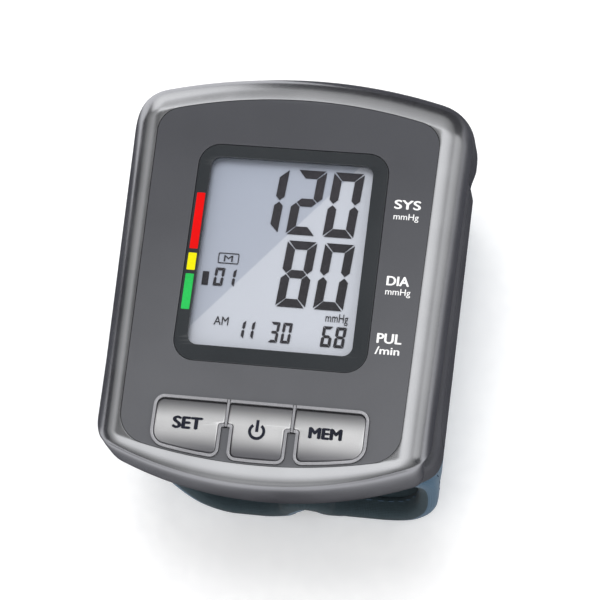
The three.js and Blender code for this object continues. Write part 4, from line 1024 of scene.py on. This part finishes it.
def doorPrism(grow, lowX, highX):
    r = rearCase
    outline = roundedOutline(0, 0, r['doorDepth'] + 2 * grow, r['doorLength'] + 2 * grow,
                             r['doorCorner'] + grow, 8)
    rings = [[(x, r['doorMiddleY'] + y, r['doorMiddleZ'] - a) for a, y in outline] for x in (lowX, highX)]
    return ringMesh('doorPrism', rings)


def boxMesh(lowX, highX, lowY, highY, lowZ, highZ):
    return slabMesh('box', rectangle(lowX, highX, lowY, highY), lowZ, highZ)


def thumbNotch():
    r = rearCase
    return postMesh(r['sideX'] + r['notchRadius'] - r['notchBite'], r['doorMiddleY'] + r['doorLength'] / 2,
                    r['notchRadius'], r['doorMiddleZ'] - r['doorDepth'] / 2, r['pastZ'], r['notchSides'])


def buildRear():
    r = rearCase
    wall, bayFloor = case['wall'], case['bayFloorZ']
    whole = ringMesh('rearWhole', rearRings(0, case['backZ'], case['rearTopZ']))
    hollow = ringMesh('rearHollow', rearRings(wall, bayFloor, case['rearTopZ'] + 2))
    steps = [(hollow, 'DIFFERENCE')]
    innerX, rootZ = r['bayWallX'] - r['bayWall'], bayFloor - wall / 2
    for walls in ((innerX, r['bayOuterX'], r['bayEndY'] - r['bayWall'], r['bayEndY']),
                  (innerX, r['bayOuterX'], r['bayLowY'], r['bayLowY'] + r['bayWall']),
                  (innerX, r['bayWallX'], r['bayLowY'], r['bayEndY'])):
        steps.append((boxMesh(*walls, rootZ, r['bayTopZ']), 'UNION'))
    trim = ringMesh('rearTrim', rearRings(r['bossTrim'], case['backZ'] + r['bossLift'], case['rearTopZ']))
    spots = [(x, y) for x in (-r['screwX'], r['screwX']) for y in (-r['screwY'], r['screwY'])]
    for x, y in spots:
        post = postMesh(x, y, r['boss'], rootZ, case['rearTopZ'])
        steps.append((carve(post, [(trim.copy(), 'INTERSECT')]), 'UNION'))
    for x, y in spots:
        steps.append((postMesh(x, y, r['headRadius'], *r['headZs']), 'DIFFERENCE'))
        steps.append((postMesh(x, y, r['screwRadius'], *r['screwZs'], r['holeSides']), 'DIFFERENCE'))
    steps.append((postMesh(r['portX'], r['portY'], r['portRadius'], *r['portZs']), 'DIFFERENCE'))
    for y in r['cuffScrewYs']:
        hole = postMesh(r['cuffScrewX'], y, r['screwRadius'], *r['portZs'], r['holeSides'])
        steps.append((hole, 'DIFFERENCE'))
    steps.append((doorPrism(case['sideGap'], r['doorInnerX'] - wall, r['pastX']), 'DIFFERENCE'))
    steps.append((thumbNotch(), 'DIFFERENCE'))
    shell = carve(whole.copy(), steps)
    material = grainMaterial('caseCharcoal', r['light'], r['dark'], 0.42, 0.52, grain=2800.0, depth=0.00003)
    finishMesh(linkPiece('rearCase', shell, material, 'case', 'rear_case', ['rear_housing']), 40)
    tongues = []
    for side in (-1, 1):
        y = r['doorMiddleY'] + side * (r['doorLength'] / 2 - r['tongueGap'] - r['tongueHalf'])
        tongues.append((boxMesh(r['doorInnerX'] - r['tongueIn'], r['doorInnerX'] + r['tongueOut'],
                                y - r['tongueHalf'], y + r['tongueHalf'], r['doorMiddleZ'] - r['tongueRise'],
                                r['doorMiddleZ'] + r['tongueRise']), 'UNION'))
    door = carve(doorPrism(0, r['doorInnerX'], r['pastX']), [(whole, 'INTERSECT')] + tongues
                 + [(thumbNotch(), 'DIFFERENCE')])
    finishMesh(linkPiece('batteryDoor', door, material, 'battery_door', 'rear_case', ['battery_door']), 40)


buildFrame()
buildFace()
print('face and frame built')
buildKeys()
buildKeyRim()
buildRear()
print('keys and rear case built')


# marks: thin printed shapes just proud of what carries them
marks = {
    'thick': 0.05, 'lift': 0.02, 'white': ('#f4f4f4', '#ececec'), 'legend': ('#1c1e28', '#262833'),
    'segment': ('#1a171b', '#2c282e'), 'copyLift': 0.001,
}
whiteInk = grainMaterial('whiteInk', *marks['white'], 0.5, 0.6, depth=0.000002)
darkInk = grainMaterial('darkInk', *marks['legend'], 0.55, 0.65, depth=0.0, Specular_IOR_Level=0.12)
segmentInk = grainMaterial('segmentInk', *marks['segment'], 0.5, 0.6, depth=0.0)


def legendMesh(text, lowX, highX, lowY, highY, z, bold=0.0):
    # words in the built-in face; bold lays copies beside each other
    curve = bpy.data.curves.new(text, 'FONT')
    curve.body = text
    curve.extrude = 0.01
    curve.resolution_u = 6
    holder = addObject('legendHolder', curve)
    mesh = evaluatedMesh(holder)
    bpy.data.objects.remove(holder)
    low = [min(v.co[a] for v in mesh.vertices) for a in range(3)]
    high = [max(v.co[a] for v in mesh.vertices) for a in range(3)]
    wide = [(lowX + bold, highX - bold), (lowY + bold * 0.5, highY - bold * 0.5), (z, z + marks['thick'])]
    for vertex in mesh.vertices:
        for a in range(3):
            share = (vertex.co[a] - low[a]) / (high[a] - low[a])
            vertex.co[a] = (wide[a][0] + (wide[a][1] - wide[a][0]) * share) * mm
    if not bold:
        return mesh
    copies = []
    for index, (stepX, stepY) in enumerate(((-1, 0), (1, 0), (0, 0.5), (0, -0.5), (0, 0))):
        copy = mesh.copy()
        for vertex in copy.vertices:
            vertex.co += Vector((stepX * bold, stepY * bold, index * marks['copyLift'])) * mm
        copies.append(copy)
    return joinMeshes(text, copies)


def flatMark(name, outline, z):
    return slabMesh(name, outline, z, z + marks['thick'])


def onKey(mesh):
    # laid on the dished top of a key
    for vertex in mesh.vertices:
        vertex.co.z += keyBow(vertex.co.y / mm) * mm
    return mesh


# which bars of a seven-bar figure are lit, and the way that each outer bar faces
figureBars = {'0': 'abcdef', '1': 'bc', '2': 'abged', '3': 'abgcd', '6': 'afgedc', '8': 'abcdefg'}
barFaces = {'a': (0, 1), 'd': (0, -1), 'f': (-1, 0), 'e': (-1, 0), 'b': (1, 0), 'c': (1, 0)}
figureShape = {'slant': 0.065, 'cut': 0.95, 'past': 0.9, 'wideSeam': 0.16, 'thinSeam': 0.05, 'wideFrom': 1}


def figureMeshes(text, boxes, stroke, z):
    slant = figureShape['slant']
    seam = figureShape['wideSeam' if stroke > figureShape['wideFrom'] else 'thinSeam']
    meshes = []
    for digit, (lowX, highX, lowY, highY) in zip(text, boxes):
        half = stroke / 2
        middle = (lowY + highY) / 2
        lean = slant * (highY - lowY)
        left, right = lowX, highX - lean
        if digit == '1':
            left = right - 2 * stroke
        bars = {
            'a': ((left + half, highY - half), (right - half, highY - half)),
            'd': ((left + half, lowY + half), (right - half, lowY + half)),
            'g': ((left + half, middle), (right - half, middle)),
            'f': ((left + half, highY - half), (left + half, middle)),
            'b': ((right - half, highY - half), (right - half, middle)),
            'e': ((left + half, middle), (left + half, lowY + half)),
            'c': ((right - half, middle), (right - half, lowY + half)),
        }
        for name in figureBars[digit]:
            (x0, y0), (x1, y1) = bars[name]
            along = Vector((x1 - x0, y1 - y0)).normalized()
            side = Vector((-along.y, along.x))
            start = Vector((x0, y0)) + along * seam
            end = Vector((x1, y1)) - along * seam
            # bars end in slanted cuts so that neighbours meet along a thin diagonal
            cut, past = half * figureShape['cut'], half * figureShape['past']
            first, last = start + along * cut, end - along * cut
            if name == 'g':
                outline = [start, first - side * cut, last - side * cut, end, last + side * cut,
                           first + side * cut]
            else:
                outward = side if side.dot(Vector(barFaces[name])) > 0 else -side
                outerFirst = start - along * (past if name in 'adfb' else -cut) + outward * half
                outerLast = end + along * (past if name in 'adec' else -cut) + outward * half
                outline = [start, outerFirst, outerLast, end, last - outward * half,
                           first - outward * half]
            points = [(p.x + slant * (p.y - lowY), p.y) for p in outline]
            area = sum(p[0] * q[1] - q[0] * p[1] for p, q in zip(points, points[1:] + points[:1]))
            if area < 0:
                points.reverse()
            meshes.append(flatMark('bar', points, z))
    return meshes


displayMarks = {
    'z': 42.9,
    'systolic': ('120', [(-5.6, -1.0, 8.2, 22.0), (-0.2, 6.7, 8.2, 22.0), (7.3, 14.4, 8.2, 22.0)], 1.75),
    'diastolic': ('80', [(-0.4, 6.5, -7.0, 6.9), (7.2, 14.1, -7.0, 6.9)], 1.75),
    'memory': ('01', [(-13.6, -11.4, -3.7, 0.1), (-11.1, -9.05, -3.7, 0.1)], 0.55),
    'hour': ('11', [(-7.6, -5.75, -14.2, -10.4), (-5.6, -3.85, -14.2, -10.4)], 0.55),
    'minute': ('30', [(-1.0, 1.15, -14.5, -10.25), (1.5, 3.65, -14.5, -10.25)], 0.55),
    'pulse': ('68', [(9.5, 11.85, -14.55, -10.3), (12.15, 14.5, -14.55, -10.3)], 0.6),
    'morning': ('AM', -12.3, -9.35, -11.75, -10.0), 'unit': ('mmHg', 10.0, 14.5, -9.92, -7.63),
    'memorySign': ('M', -12.0, -10.2, 1.5, 2.8), 'memoryFrame': (-11.08, 2.18, 4.25, 2.25, 0.3, 3),
    'memoryLine': 0.18, 'levelFlag': (-15.9, -14.6, -3.7, -0.85),
}


def buildDisplayMarks():
    d = displayMarks
    z = d['z']
    meshes = []
    for key in ('systolic', 'diastolic', 'memory', 'hour', 'minute', 'pulse'):
        meshes += figureMeshes(*d[key], z)
    meshes += [legendMesh(*d['morning'], z), legendMesh(*d['unit'], z)]
    outer = roundedOutline(*d['memoryFrame'])
    meshes.append(plateMesh('memoryFrame', outer, [shifted(outer, -d['memoryLine'])], z, z + marks['thick']))
    meshes += [legendMesh(*d['memorySign'], z), flatMark('levelFlag', rectangle(*d['levelFlag']), z)]
    linkPiece('displayFigures', joinMeshes('displayFigures', meshes), segmentInk, 'case', 'lcd')


# words, each with its box on the face and how bold it is
faceWords = [('SYS', (21.3, 26.65, 14.4, 16.35), 0.09), ('mmHg', (21.4, 26.45, 11.8, 13.5), 0.015),
             ('DIA', (21.5, 26.05, -1.55, 0.4), 0.09), ('mmHg', (21.5, 26.5, -3.87, -2.14), 0.015),
             ('PUL', (20.9, 25.85, -13.45, -11.4), 0.09), ('/min', (20.8, 25.65, -15.7, -14.1), 0.06)]
keyWords = [('setLegend', 'set_key', 'SET', (-17.2, -11.15, -34.05, -31.5), 0.2),
            ('memoryLegend', 'memory_key', 'MEM', (9.85, 16.5, -33.75, -31.45), 0.2)]
powerSign = {'x': -0.3, 'y': -33.3, 'outer': 1.7, 'inner': 1.12, 'angles': range(125, 416, 10),
             'bar': (-0.6, 0.0, -33.4, -31.0)}


def buildFaceMarks():
    z = case['faceZ'] + marks['lift']
    meshes = [legendMesh(word, *box, z, bold) for word, box, bold in faceWords]
    linkPiece('faceLegends', joinMeshes('faceLegends', meshes), whiteInk, 'case', 'panel')
    keyZ = case['faceZ'] + keyRow['rise'] + marks['lift']
    for name, body, word, box, bold in keyWords:
        linkPiece(name, onKey(legendMesh(word, *box, keyZ, bold)), darkInk, body, 'key')
    p = powerSign
    outer, inner = [[onCircle(p['x'], p['y'], p[side], math.radians(a)) for a in p['angles']]
                    for side in ('outer', 'inner')]
    arc = plateMesh('powerArc', outer + inner[::-1], [], keyZ, keyZ + marks['thick'])
    bar = flatMark('powerBar', rectangle(*p['bar']), keyZ)
    linkPiece('powerLegend', onKey(joinMeshes('powerLegend', [arc, bar])), darkInk, 'power_key', 'key')


levelBars = {
    'lift': 0.01, 'corner': 0.15, 'x': (-18.9, -17.2),
    'colors': {'red': ('#e00202', '#d40202', 3.1, 15.0), 'yellow': ('#eae402', '#ded602', -1.4, 2.2),
               'green': ('#2bb956', '#24ab4c', -9.6, -2.2)},
}


def buildLevelBars():
    z = windowSpec['topZ'] + levelBars['lift']
    lowX, highX = levelBars['x']
    for name, (light, dark, lowY, highY) in levelBars['colors'].items():
        outline = roundedOutline((lowX + highX) / 2, (lowY + highY) / 2, highX - lowX, highY - lowY,
                                 levelBars['corner'], 2)
        material = grainMaterial(name + 'Ink', light, dark, 0.5, 0.6, depth=0.0, Specular_IOR_Level=0.15)
        mesh = plateMesh(name + 'Bar', outline, [], z, z + marks['thick'])
        linkPiece(name + 'Bar', mesh, material, 'case', 'window_border')


buildDisplayMarks()
buildFaceMarks()
buildLevelBars()
print('marks printed')


# cuff: a closed loop of padded cloth, pushed flat below the case and folded up in the middle
cuff = {
    'shares': [(0.072, 0.503), (0.173, 0.337), (0.23, 0.13), (0.36, 0), (0.63, 0), (0.827, 0.067),
               (0.953, 0.249), (1, 0.534), (0.971, 0.819), (0.827, 1), (0.54, 1), (0.072, 1),
               (-0.468, 1), (-0.809, 1), (-0.953, 0.87), (-0.946, 0.637), (-0.827, 0.378),
               (-0.683, 0.145), (-0.504, 0), (-0.27, 0), (-0.101, 0.14), (-0.029, 0.337)],
    'steps': 12, 'middleX': 3, 'halfX': 27.8, 'lowZ': 1.7, 'highZ': 21.0, 'thickness': 4.4,
    'lowY': -41.3, 'width': 75, 'wave': 7, 'setBack': 1.6, 'setBackShare': 0.35, 'outerSink': 0.02,
    'bindWidth': 4.6, 'bindThick': 0.22, 'bindLift': 0.01, 'middleY': -3.8, 'patchLength': 54,
    'tabLength': 50, 'patchThick': 0.5, 'tabThick': 1.1, 'gap': 0.3, 'tabStretch': 0.035,
    'tabFrom': 14, 'tabTo': 16, 'hemTo': 17, 'hemEdge': 0.5, 'hemShare': 0.6, 'bagFrom': 7, 'bagTo': 15,
    'bagOut': (-1.0, -0.1),
    # the inner cloth's colours are partly its own and partly painted shade, for the shaded hollow inside the
    # flattened loop
    'cloth': ('#4e6f88', '#3d586c'), 'binding': ('#4a6a82', '#3a5468'), 'liningAndShade': ('#34464e', '#27353b'),
    'pile': ('#33444a', '#141b1e'), 'hooks': ('#3a484c', '#161c1e'), 'thread': ('#40566a', '#33475a'),
    'film': ('#a9b5b1', '#98a5a1'),
}


def loopPoint(points, index, t):
    # centripetal Catmull-Rom on a closed list
    count = len(points)
    p = [Vector(points[(index + k - 1) % count]) for k in range(4)]
    spans = [(p[k + 1] - p[k]).length_squared ** 0.25 for k in range(3)]
    first = ((p[1] - p[0]) / spans[0] - (p[2] - p[0]) / (spans[0] + spans[1]) + (p[2] - p[1]) / spans[1])
    second = ((p[2] - p[1]) / spans[1] - (p[3] - p[1]) / (spans[1] + spans[2]) + (p[3] - p[2]) / spans[2])
    first, second = first * spans[1], second * spans[1]
    c2 = -3 * p[1] + 3 * p[2] - 2 * first - second
    c3 = 2 * p[1] - 2 * p[2] + first + second
    return p[1] + first * t + c2 * t * t + c3 * t ** 3


def loopStations():
    c = cuff
    stations = []
    for index in range(len(c['shares'])):
        for step in range(c['steps']):
            share = loopPoint(c['shares'], index, step / c['steps'])
            rise = clamp(share.y)
            stations.append({'x': c['middleX'] + c['halfX'] * share.x,
                             'z': c['lowZ'] + (c['highZ'] - c['lowZ']) * rise, 'rise': rise,
                             'wave': c['wave'] * rise * share.x ** 2
                             + c['setBack'] * (1 - rise) * clamp(share.x / c['setBackShare'])})
    total = 0.0
    for index, here in enumerate(stations):
        before, after = stations[index - 1], stations[(index + 1) % len(stations)]
        length = math.hypot(after['x'] - before['x'], after['z'] - before['z'])
        here['outX'] = (after['z'] - before['z']) / length
        here['outZ'] = (before['x'] - after['x']) / length
        here['arc'] = total
        total += math.hypot(after['x'] - here['x'], after['z'] - here['z'])
    return stations, total


stations, loopLength = loopStations()


def onStation(here, out, y):
    return (here['x'] + here['outX'] * out, y, max(here['z'] + here['outZ'] * out, 0.0))


def sweptMesh(name, chosen, sectionAt, closed=False):
    # sections are lists of outward offset and Y; the UV is laid out in metres
    sections = [sectionAt(here) for here in chosen]
    count = len(sections[0])
    points = [onStation(here, out, y) for here, section in zip(chosen, sections) for out, y in section]
    faces, layout = [], []
    spans = len(chosen) if closed else len(chosen) - 1
    girth = [0.0]
    for step in range(count):
        a, b = sections[0][step], sections[0][(step + 1) % count]
        girth.append(girth[-1] + math.hypot(b[0] - a[0], b[1] - a[1]))
    for span in range(spans):
        low, high = span * count, ((span + 1) % len(chosen)) * count
        u0 = chosen[span]['arc']
        u1 = chosen[span + 1]['arc'] if span + 1 < len(chosen) else loopLength
        for step in range(count):
            after = (step + 1) % count
            faces.append((low + step, low + after, high + after, high + step))
            v0, v1 = girth[step], girth[step + 1]
            layout += [(u0, v0), (u0, v1), (u1, v1), (u1, v0)]
    if not closed:
        last = (len(chosen) - 1) * count
        faces.append(tuple(reversed(range(count))))
        faces.append(tuple(last + step for step in range(count)))
        layout += [(out, y) for out, y in reversed(sections[0])] + list(sections[-1])
    mesh = meshOf(name, points, faces)
    uv = mesh.uv_layers.new(name='clothLayout')
    for loop, (u, v) in zip(uv.data, layout):
        loop.uv = (u * mm, v * mm)
    return mesh


def lineInside(piece, liningAndShade, section):
    # the side turned to the wrist carries the inner cloth, coloured dark partly as painted shade for the
    # hollow inside the loop
    piece.data.materials.append(liningAndShade)
    count = len(section)
    for face in piece.data.polygons:
        step = face.index % count
        if section[step][0] + section[(step + 1) % count][0] < -0.01:
            face.material_index = 1


def lowRim(here):
    return cuff['lowY'] + here['wave']


def highRim(here):
    return cuff['lowY'] + cuff['width'] - here['wave']


# the rounded rim of the cloth: share of half its thickness, and way in from its edge
rimWidth = 7.0
rimRows = [(0.0, 0.0), (0.38, 0.1), (0.66, 0.38), (0.8, 0.85), (0.84, 1.6), (0.84, 2.6), (0.8, 3.4),
           (0.84, 4.2), (0.93, 5.2), (0.99, rimWidth)]


creases = {
    'fromX': -16, 'upTo': 0.8, 'foldX': 4.5, 'foldWidth': 7.0, 'spacing': 9.0, 'least': 0.05, 'most': 0.16,
    'waves': [(1.0, 2.1, 0.11, 0.0), (0.6, 3.7, -0.17, 1.3), (0.5, 0.9, 0.23, 0.0)],
}


def creased(here, y):
    # shallow wrinkles where the cloth is pushed together, none under the case or the tab
    c = creases
    free = max(0.0, 1 - here['rise'] / c['upTo']) if here['x'] > c['fromX'] else 0.0
    fold = math.exp(-((here['x'] - c['foldX']) / c['foldWidth']) ** 2)
    along = here['arc'] / c['spacing']
    wave = sum(size * math.sin(turns * along + lean * y + start) for size, turns, lean, start in c['waves'])
    return free * (c['least'] + c['most'] * fold) * wave


def sleeveSection(here):
    half, spans = cuff['thickness'] / 2, 12
    low, high = lowRim(here), highRim(here)
    middle = [low + rimWidth + (high - low - 2 * rimWidth) * k / spans for k in range(1, spans)]
    outer = [(half * share, low + rise) for share, rise in rimRows]
    outer += [(half + creased(here, y) - cuff['outerSink'], y) for y in middle]
    outer += [(half * share, high - rise) for share, rise in reversed(rimRows)]
    inner = [(-half * share, high - rise) for share, rise in rimRows[1:]]
    inner += [(-half + creased(here, y), y) for y in reversed(middle)]
    inner += [(-half * share, low + rise) for share, rise in reversed(rimRows[1:])]
    return outer + inner


def bindingSection(end):
    # a tape folded over the rim
    half, thick, reach, lift = cuff['thickness'] / 2, cuff['bindThick'], cuff['bindWidth'], cuff['bindLift']
    rows = [(share, rise) for share, rise in rimRows if rise <= reach]

    def sectionAt(here):
        rim, way = (lowRim(here), 1) if end == 'low' else (highRim(here), -1)
        skin = [(-(half * s + thick), rim + way * (r - thick * (1 - s))) for s, r in reversed(rows[1:])]
        skin += [(0.0, rim - way * thick)]
        skin += [(half * s + thick, rim + way * (r - thick * (1 - s))) for s, r in rows[1:]]
        back = [(half * s + lift, rim + way * r) for s, r in reversed(rows[1:])]
        back += [(0.0, rim - way * lift)]
        back += [(-(half * s + lift), rim + way * r) for s, r in rows[1:]]
        section = skin + back
        return section if way > 0 else section[::-1]
    return sectionAt


stitches = {
    'length': 1.5, 'radius': 0.15, 'pitch': 2.5, 'in': 3.4, 'outShare': 0.8, 'hiddenFrom': 0.97,
    'rows': [(-0.5, 0.35, -0.5), (-0.3, 0.9, 0.1), (0.0, 1.0, 0.35), (0.3, 0.9, 0.1), (0.5, 0.35, -0.5)],
}


def stitchMesh(name, spots):
    # each stitch is a short thread of six sides whose ends dip into the cloth
    length, radius, rows, sides = stitches['length'], stitches['radius'], stitches['rows'], 6
    points, faces = [], []
    for middle, along, out in spots:
        middle, along, out = Vector(middle), Vector(along).normalized(), Vector(out).normalized()
        side = along.cross(out)
        first = len(points)
        for share, size, lift in rows:
            for k in range(sides):
                angle = 2 * math.pi * k / sides
                p = middle + along * length * share + out * radius * (lift + size * math.sin(angle)) \
                    + side * radius * size * math.cos(angle)
                points.append((p.x, p.y, max(p.z, 0.0)))
        for row in range(len(rows) - 1):
            for k in range(sides):
                a, b = first + row * sides + k, first + row * sides + (k + 1) % sides
                faces.append((a, a + sides, b + sides, b))
        faces.append(tuple(first + k for k in range(sides)))
        faces.append(tuple(first + (len(rows) - 1) * sides + k for k in reversed(range(sides))))
    return meshOf(name, points, faces)


def stationAt(arc):
    arc %= loopLength
    for index, here in enumerate(stations):
        after = stations[(index + 1) % len(stations)]
        end = after['arc'] if index + 1 < len(stations) else loopLength
        if here['arc'] <= arc <= end:
            t = (arc - here['arc']) / max(end - here['arc'], 1e-6)
            return {key: here[key] + (after[key] - here[key]) * t for key in here if key != 'arc'}
    return stations[0]


def rimStitches():
    spots = []
    count = int(loopLength / stitches['pitch'])
    out = cuff['thickness'] / 2 * stitches['outShare'] + cuff['bindThick']
    for index in range(count):
        here = stationAt(loopLength * index / count)
        along = (-here['outZ'], 0, here['outX'])
        # none where the case lies on the cloth
        sides = (-1,) if here['rise'] > stitches['hiddenFrom'] else (1, -1)
        for y in (lowRim(here) + stitches['in'], highRim(here) - stitches['in']):
            spots += [(onStation(here, side * out, y), along,
                       (side * here['outX'], 0, side * here['outZ'])) for side in sides]
    return stitchMesh('rimStitches', spots)


def bandSection(lowOut, highOut, lowY, highY, edge):
    # a flat band with rounded edges, the same all along
    near, middle = edge * 0.3, (lowY + highY) / 2
    section = [(lowOut, lowY + edge), (lowOut + near, lowY + near), (lowOut + edge, lowY),
               (highOut - edge, lowY), (highOut - near, lowY + near), (highOut, lowY + edge),
               (highOut, middle), (highOut, highY - edge), (highOut - near, highY - near),
               (highOut - edge, highY), (lowOut + edge, highY), (lowOut + near, highY - near),
               (lowOut, highY - edge), (lowOut, middle)]
    return lambda here: section


def bagSection(here):
    low, high = lowRim(here) + rimWidth, highRim(here) - rimWidth
    inner, outer = cuff['bagOut']
    return [(inner, low), (outer, low), (outer, high), (inner, high)]


def buildCuff():
    c = cuff
    half = c['thickness'] / 2
    cloth = clothMaterial('cuffCloth', *c['cloth'], 0.00035, 0.00003, 0.35, Sheen_Weight=0.2)
    tape = clothMaterial('bindingTape', *c['binding'], 0.0005, 0.00004, 0.3, Sheen_Weight=0.2)
    liningAndShade = clothMaterial('cuffLiningAndShade', *c['liningAndShade'], 0.00035, 0.00003, 0.35, Sheen_Weight=0.1)
    pile = clothMaterial('loopPile', *c['pile'], 0.0004, 0.0002, 1.1, Sheen_Weight=0.6)
    hooks = clothMaterial('hookTape', *c['hooks'], 0.0009, 0.0003, 0.1)
    thread = grainMaterial('sewingThread', *c['thread'], 0.6, 0.7, grain=9000.0)
    film = grainMaterial('bladderFilm', *c['film'], 0.35, 0.45)

    def sewn(name, section, material):
        # cloth all round the loop, lined on its inner side
        piece = linkPiece(name, sweptMesh(name, stations, section, True), material, 'case', 'cuff_cloth',
                          ['cuff_sleeve'])
        smoothShade(piece.data)
        lineInside(piece, liningAndShade, section(stations[0]))
        return piece

    sewn('cuffSleeve', sleeveSection, cloth)
    for end in ('low', 'high'):
        sewn(end + 'Binding', bindingSection(end), tape)
    smoothShade(linkPiece('rimStitches', rimStitches(), thread, 'case', 'cuff_cloth').data)
    top, low = c['tabFrom'] * c['steps'], c['tabTo'] * c['steps']
    tabPart = stations[top:low + 1]
    hemPart = stations[low + 4:c['hemTo'] * c['steps'] + 1]
    tabYs, patchYs = [(c['middleY'] - length / 2, c['middleY'] + length / 2)
                      for length in (c['tabLength'], c['patchLength'])]
    loopOut = half + c['gap']
    hookOut = loopOut + c['patchThick'] + c['gap']
    tabOut = hookOut + c['patchThick'] + c['gap']
    for name, material, out, thick, ys, body, slotName, node in (
            ('loopPatch', pile, loopOut, c['patchThick'], patchYs, 'case', 'loop_cloth', 'loop_patch'),
            ('hookPatch', hooks, hookOut, c['patchThick'], tabYs, 'closing_tab', 'hook_tape', 'hook_patch'),
            ('closingTab', cloth, tabOut, c['tabThick'], tabYs, 'closing_tab', 'cuff_cloth',
             'closing_tab')):
        mesh = sweptMesh(name, tabPart, bandSection(out, out + thick, *ys, thick * 0.4))
        piece = finishMesh(linkPiece(name, mesh, material, body, slotName, [node]), 50)
    hem = sweptMesh('anchorHem', hemPart,
                    bandSection(half * c['hemShare'], tabOut + c['tabThick'], *tabYs, c['hemEdge']))
    finishMesh(linkPiece('anchorHem', hem, cloth, 'case', 'cuff_cloth', ['cuff_sleeve']), 50)
    bag = sweptMesh('airBladder', stations[c['bagFrom'] * c['steps']:c['bagTo'] * c['steps'] + 6], bagSection)
    finishMesh(linkPiece('airBladder', bag, film, 'case', 'bladder', ['air_bladder']), 50)


buildCuff()
print('cuff sewn')


# finishes of the pieces that keep their solid: light, dark, smooth, rough and more
nodeLooks = {
    'lcd_holder': ('#e9e9e6', '#dddcd8', 0.5, 0.6, {}),
    'main_board': ('#2a6b41', '#1d5130', 0.3, 0.4, {'Coat_Weight': 0.4}),
    'microcontroller': ('#2b2b2e', '#232326', 0.5, 0.6, {}),
    'memory_chip': ('#2b2b2e', '#232326', 0.5, 0.6, {}),
    'buzzer': ('#232325', '#1b1b1d', 0.4, 0.5, {}),
    'pump_motor': ('#b9bbbf', '#a3a5a9', 0.25, 0.35, {'Metallic': 1.0}),
    'pump_head': ('#303236', '#27292c', 0.4, 0.5, {}),
    'air_manifold': ('#e0e0db', '#d3d3cd', 0.4, 0.5, {}),
    'port_fitting': ('#e0e0db', '#d3d3cd', 0.4, 0.5, {}),
    'release_valve': ('#9a9da1', '#85888c', 0.3, 0.4, {'Metallic': 1.0}),
    'pressure_sensor': ('#35373b', '#2a2c30', 0.4, 0.5, {}),
    'cuff_stiffener': ('#dcdfd9', '#cfd2cb', 0.45, 0.55, {}),
    'battery_1': ('#aeb1b6', '#9a9da2', 0.35, 0.45, {'Metallic': 0.3}),
    'battery_2': ('#aeb1b6', '#9a9da2', 0.35, 0.45, {'Metallic': 0.3}),
}
# the first word that a node's name holds gives its look
familyLooks = {
    'contact_strip': ('#2f2f31', '#232325', 0.7, 0.8, {}),
    'screw': ('#b4b4b8', '#9a9a9e', 0.25, 0.4, {'Metallic': 1.0}),
    'contact': ('#d0cdbf', '#b8b5a7', 0.25, 0.35, {'Metallic': 1.0}),
    'hose': ('#e6e3da', '#d9d6cc', 0.3, 0.4, {'Subsurface_Weight': 0.2}),
    'switch': ('#26262a', '#1e1e21', 0.45, 0.55, {}),
    'plunger': ('#8f6f42', '#7c5e35', 0.4, 0.5, {}),
}


def clothe(node, material):
    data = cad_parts[node].data
    data.materials.clear()
    data.materials.append(material)


# the pale colour, its share and the slope numbers place a painted glare on the lower right corner; cool and
# warm with their drift are painted shade, darker towards the top left
glassLook = {
    'cool': '#a9b0bf', 'warm': '#bcc1cd', 'pale': '#f2f4f8', 'glareShare': 0.32, 'shade': 0.97,
    'slope': 1.19, 'slopeX': -0.0078, 'slopeY': 0.0156, 'glareEdge': 0.0003, 'driftFrom': (-0.035, 0.03),
    'lens': ('#5c6066', '#54585e'),
}


def lcdMaterial():
    # pale reflective glass with painted light: painted shade makes it darker and cooler towards its top left,
    # and a painted glare makes its lower right corner lighter beyond a slanted edge
    material, tree, principled = newMaterial('lcdGlassWithPaintedGlare', Specular_IOR_Level=0.3)
    g = glassLook
    x, y = placeParts(tree)[:2]
    slope = maths(tree, 'MULTIPLY_ADD', x, g['slope'], g['slopeX'])
    beyond = maths(tree, 'SUBTRACT', slope, maths(tree, 'SUBTRACT', y, g['slopeY']))
    corner = ramp(tree, beyond, -g['glareEdge'], g['glareEdge'])
    drift = ramp(tree, maths(tree, 'SUBTRACT', x, y), *g['driftFrom'], kind='LINEAR')
    base = mixColors(tree, drift, screenColor(g['cool']), screenColor(g['warm']))
    pale = mixColors(tree, g['glareShare'], base, screenColor(g['pale']))
    dressOver(tree, principled, mixColors(tree, corner, base, pale), g['shade'], Grain=9000.0, Drift=40.0,
              Smooth=0.35, Rough=0.4, Depth=0.0)
    return material


def dressNodes():
    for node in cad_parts:
        look = nodeLooks.get(node)
        if look is None:
            look = next((spec for word, spec in familyLooks.items() if word in node), None)
        if look:
            light, dark, smooth, rough, more = look
            clothe(node, grainMaterial(node + 'Finish', light, dark, smooth, rough, **more))
    clothe('lcd_panel', lcdMaterial())
    clothe('display_window', grainMaterial('clearLens', *glassLook['lens'], 0.03, 0.06, depth=0.0,
                                           Alpha=0.06, Specular_IOR_Level=0.5))


dressNodes()
print('solids dressed')
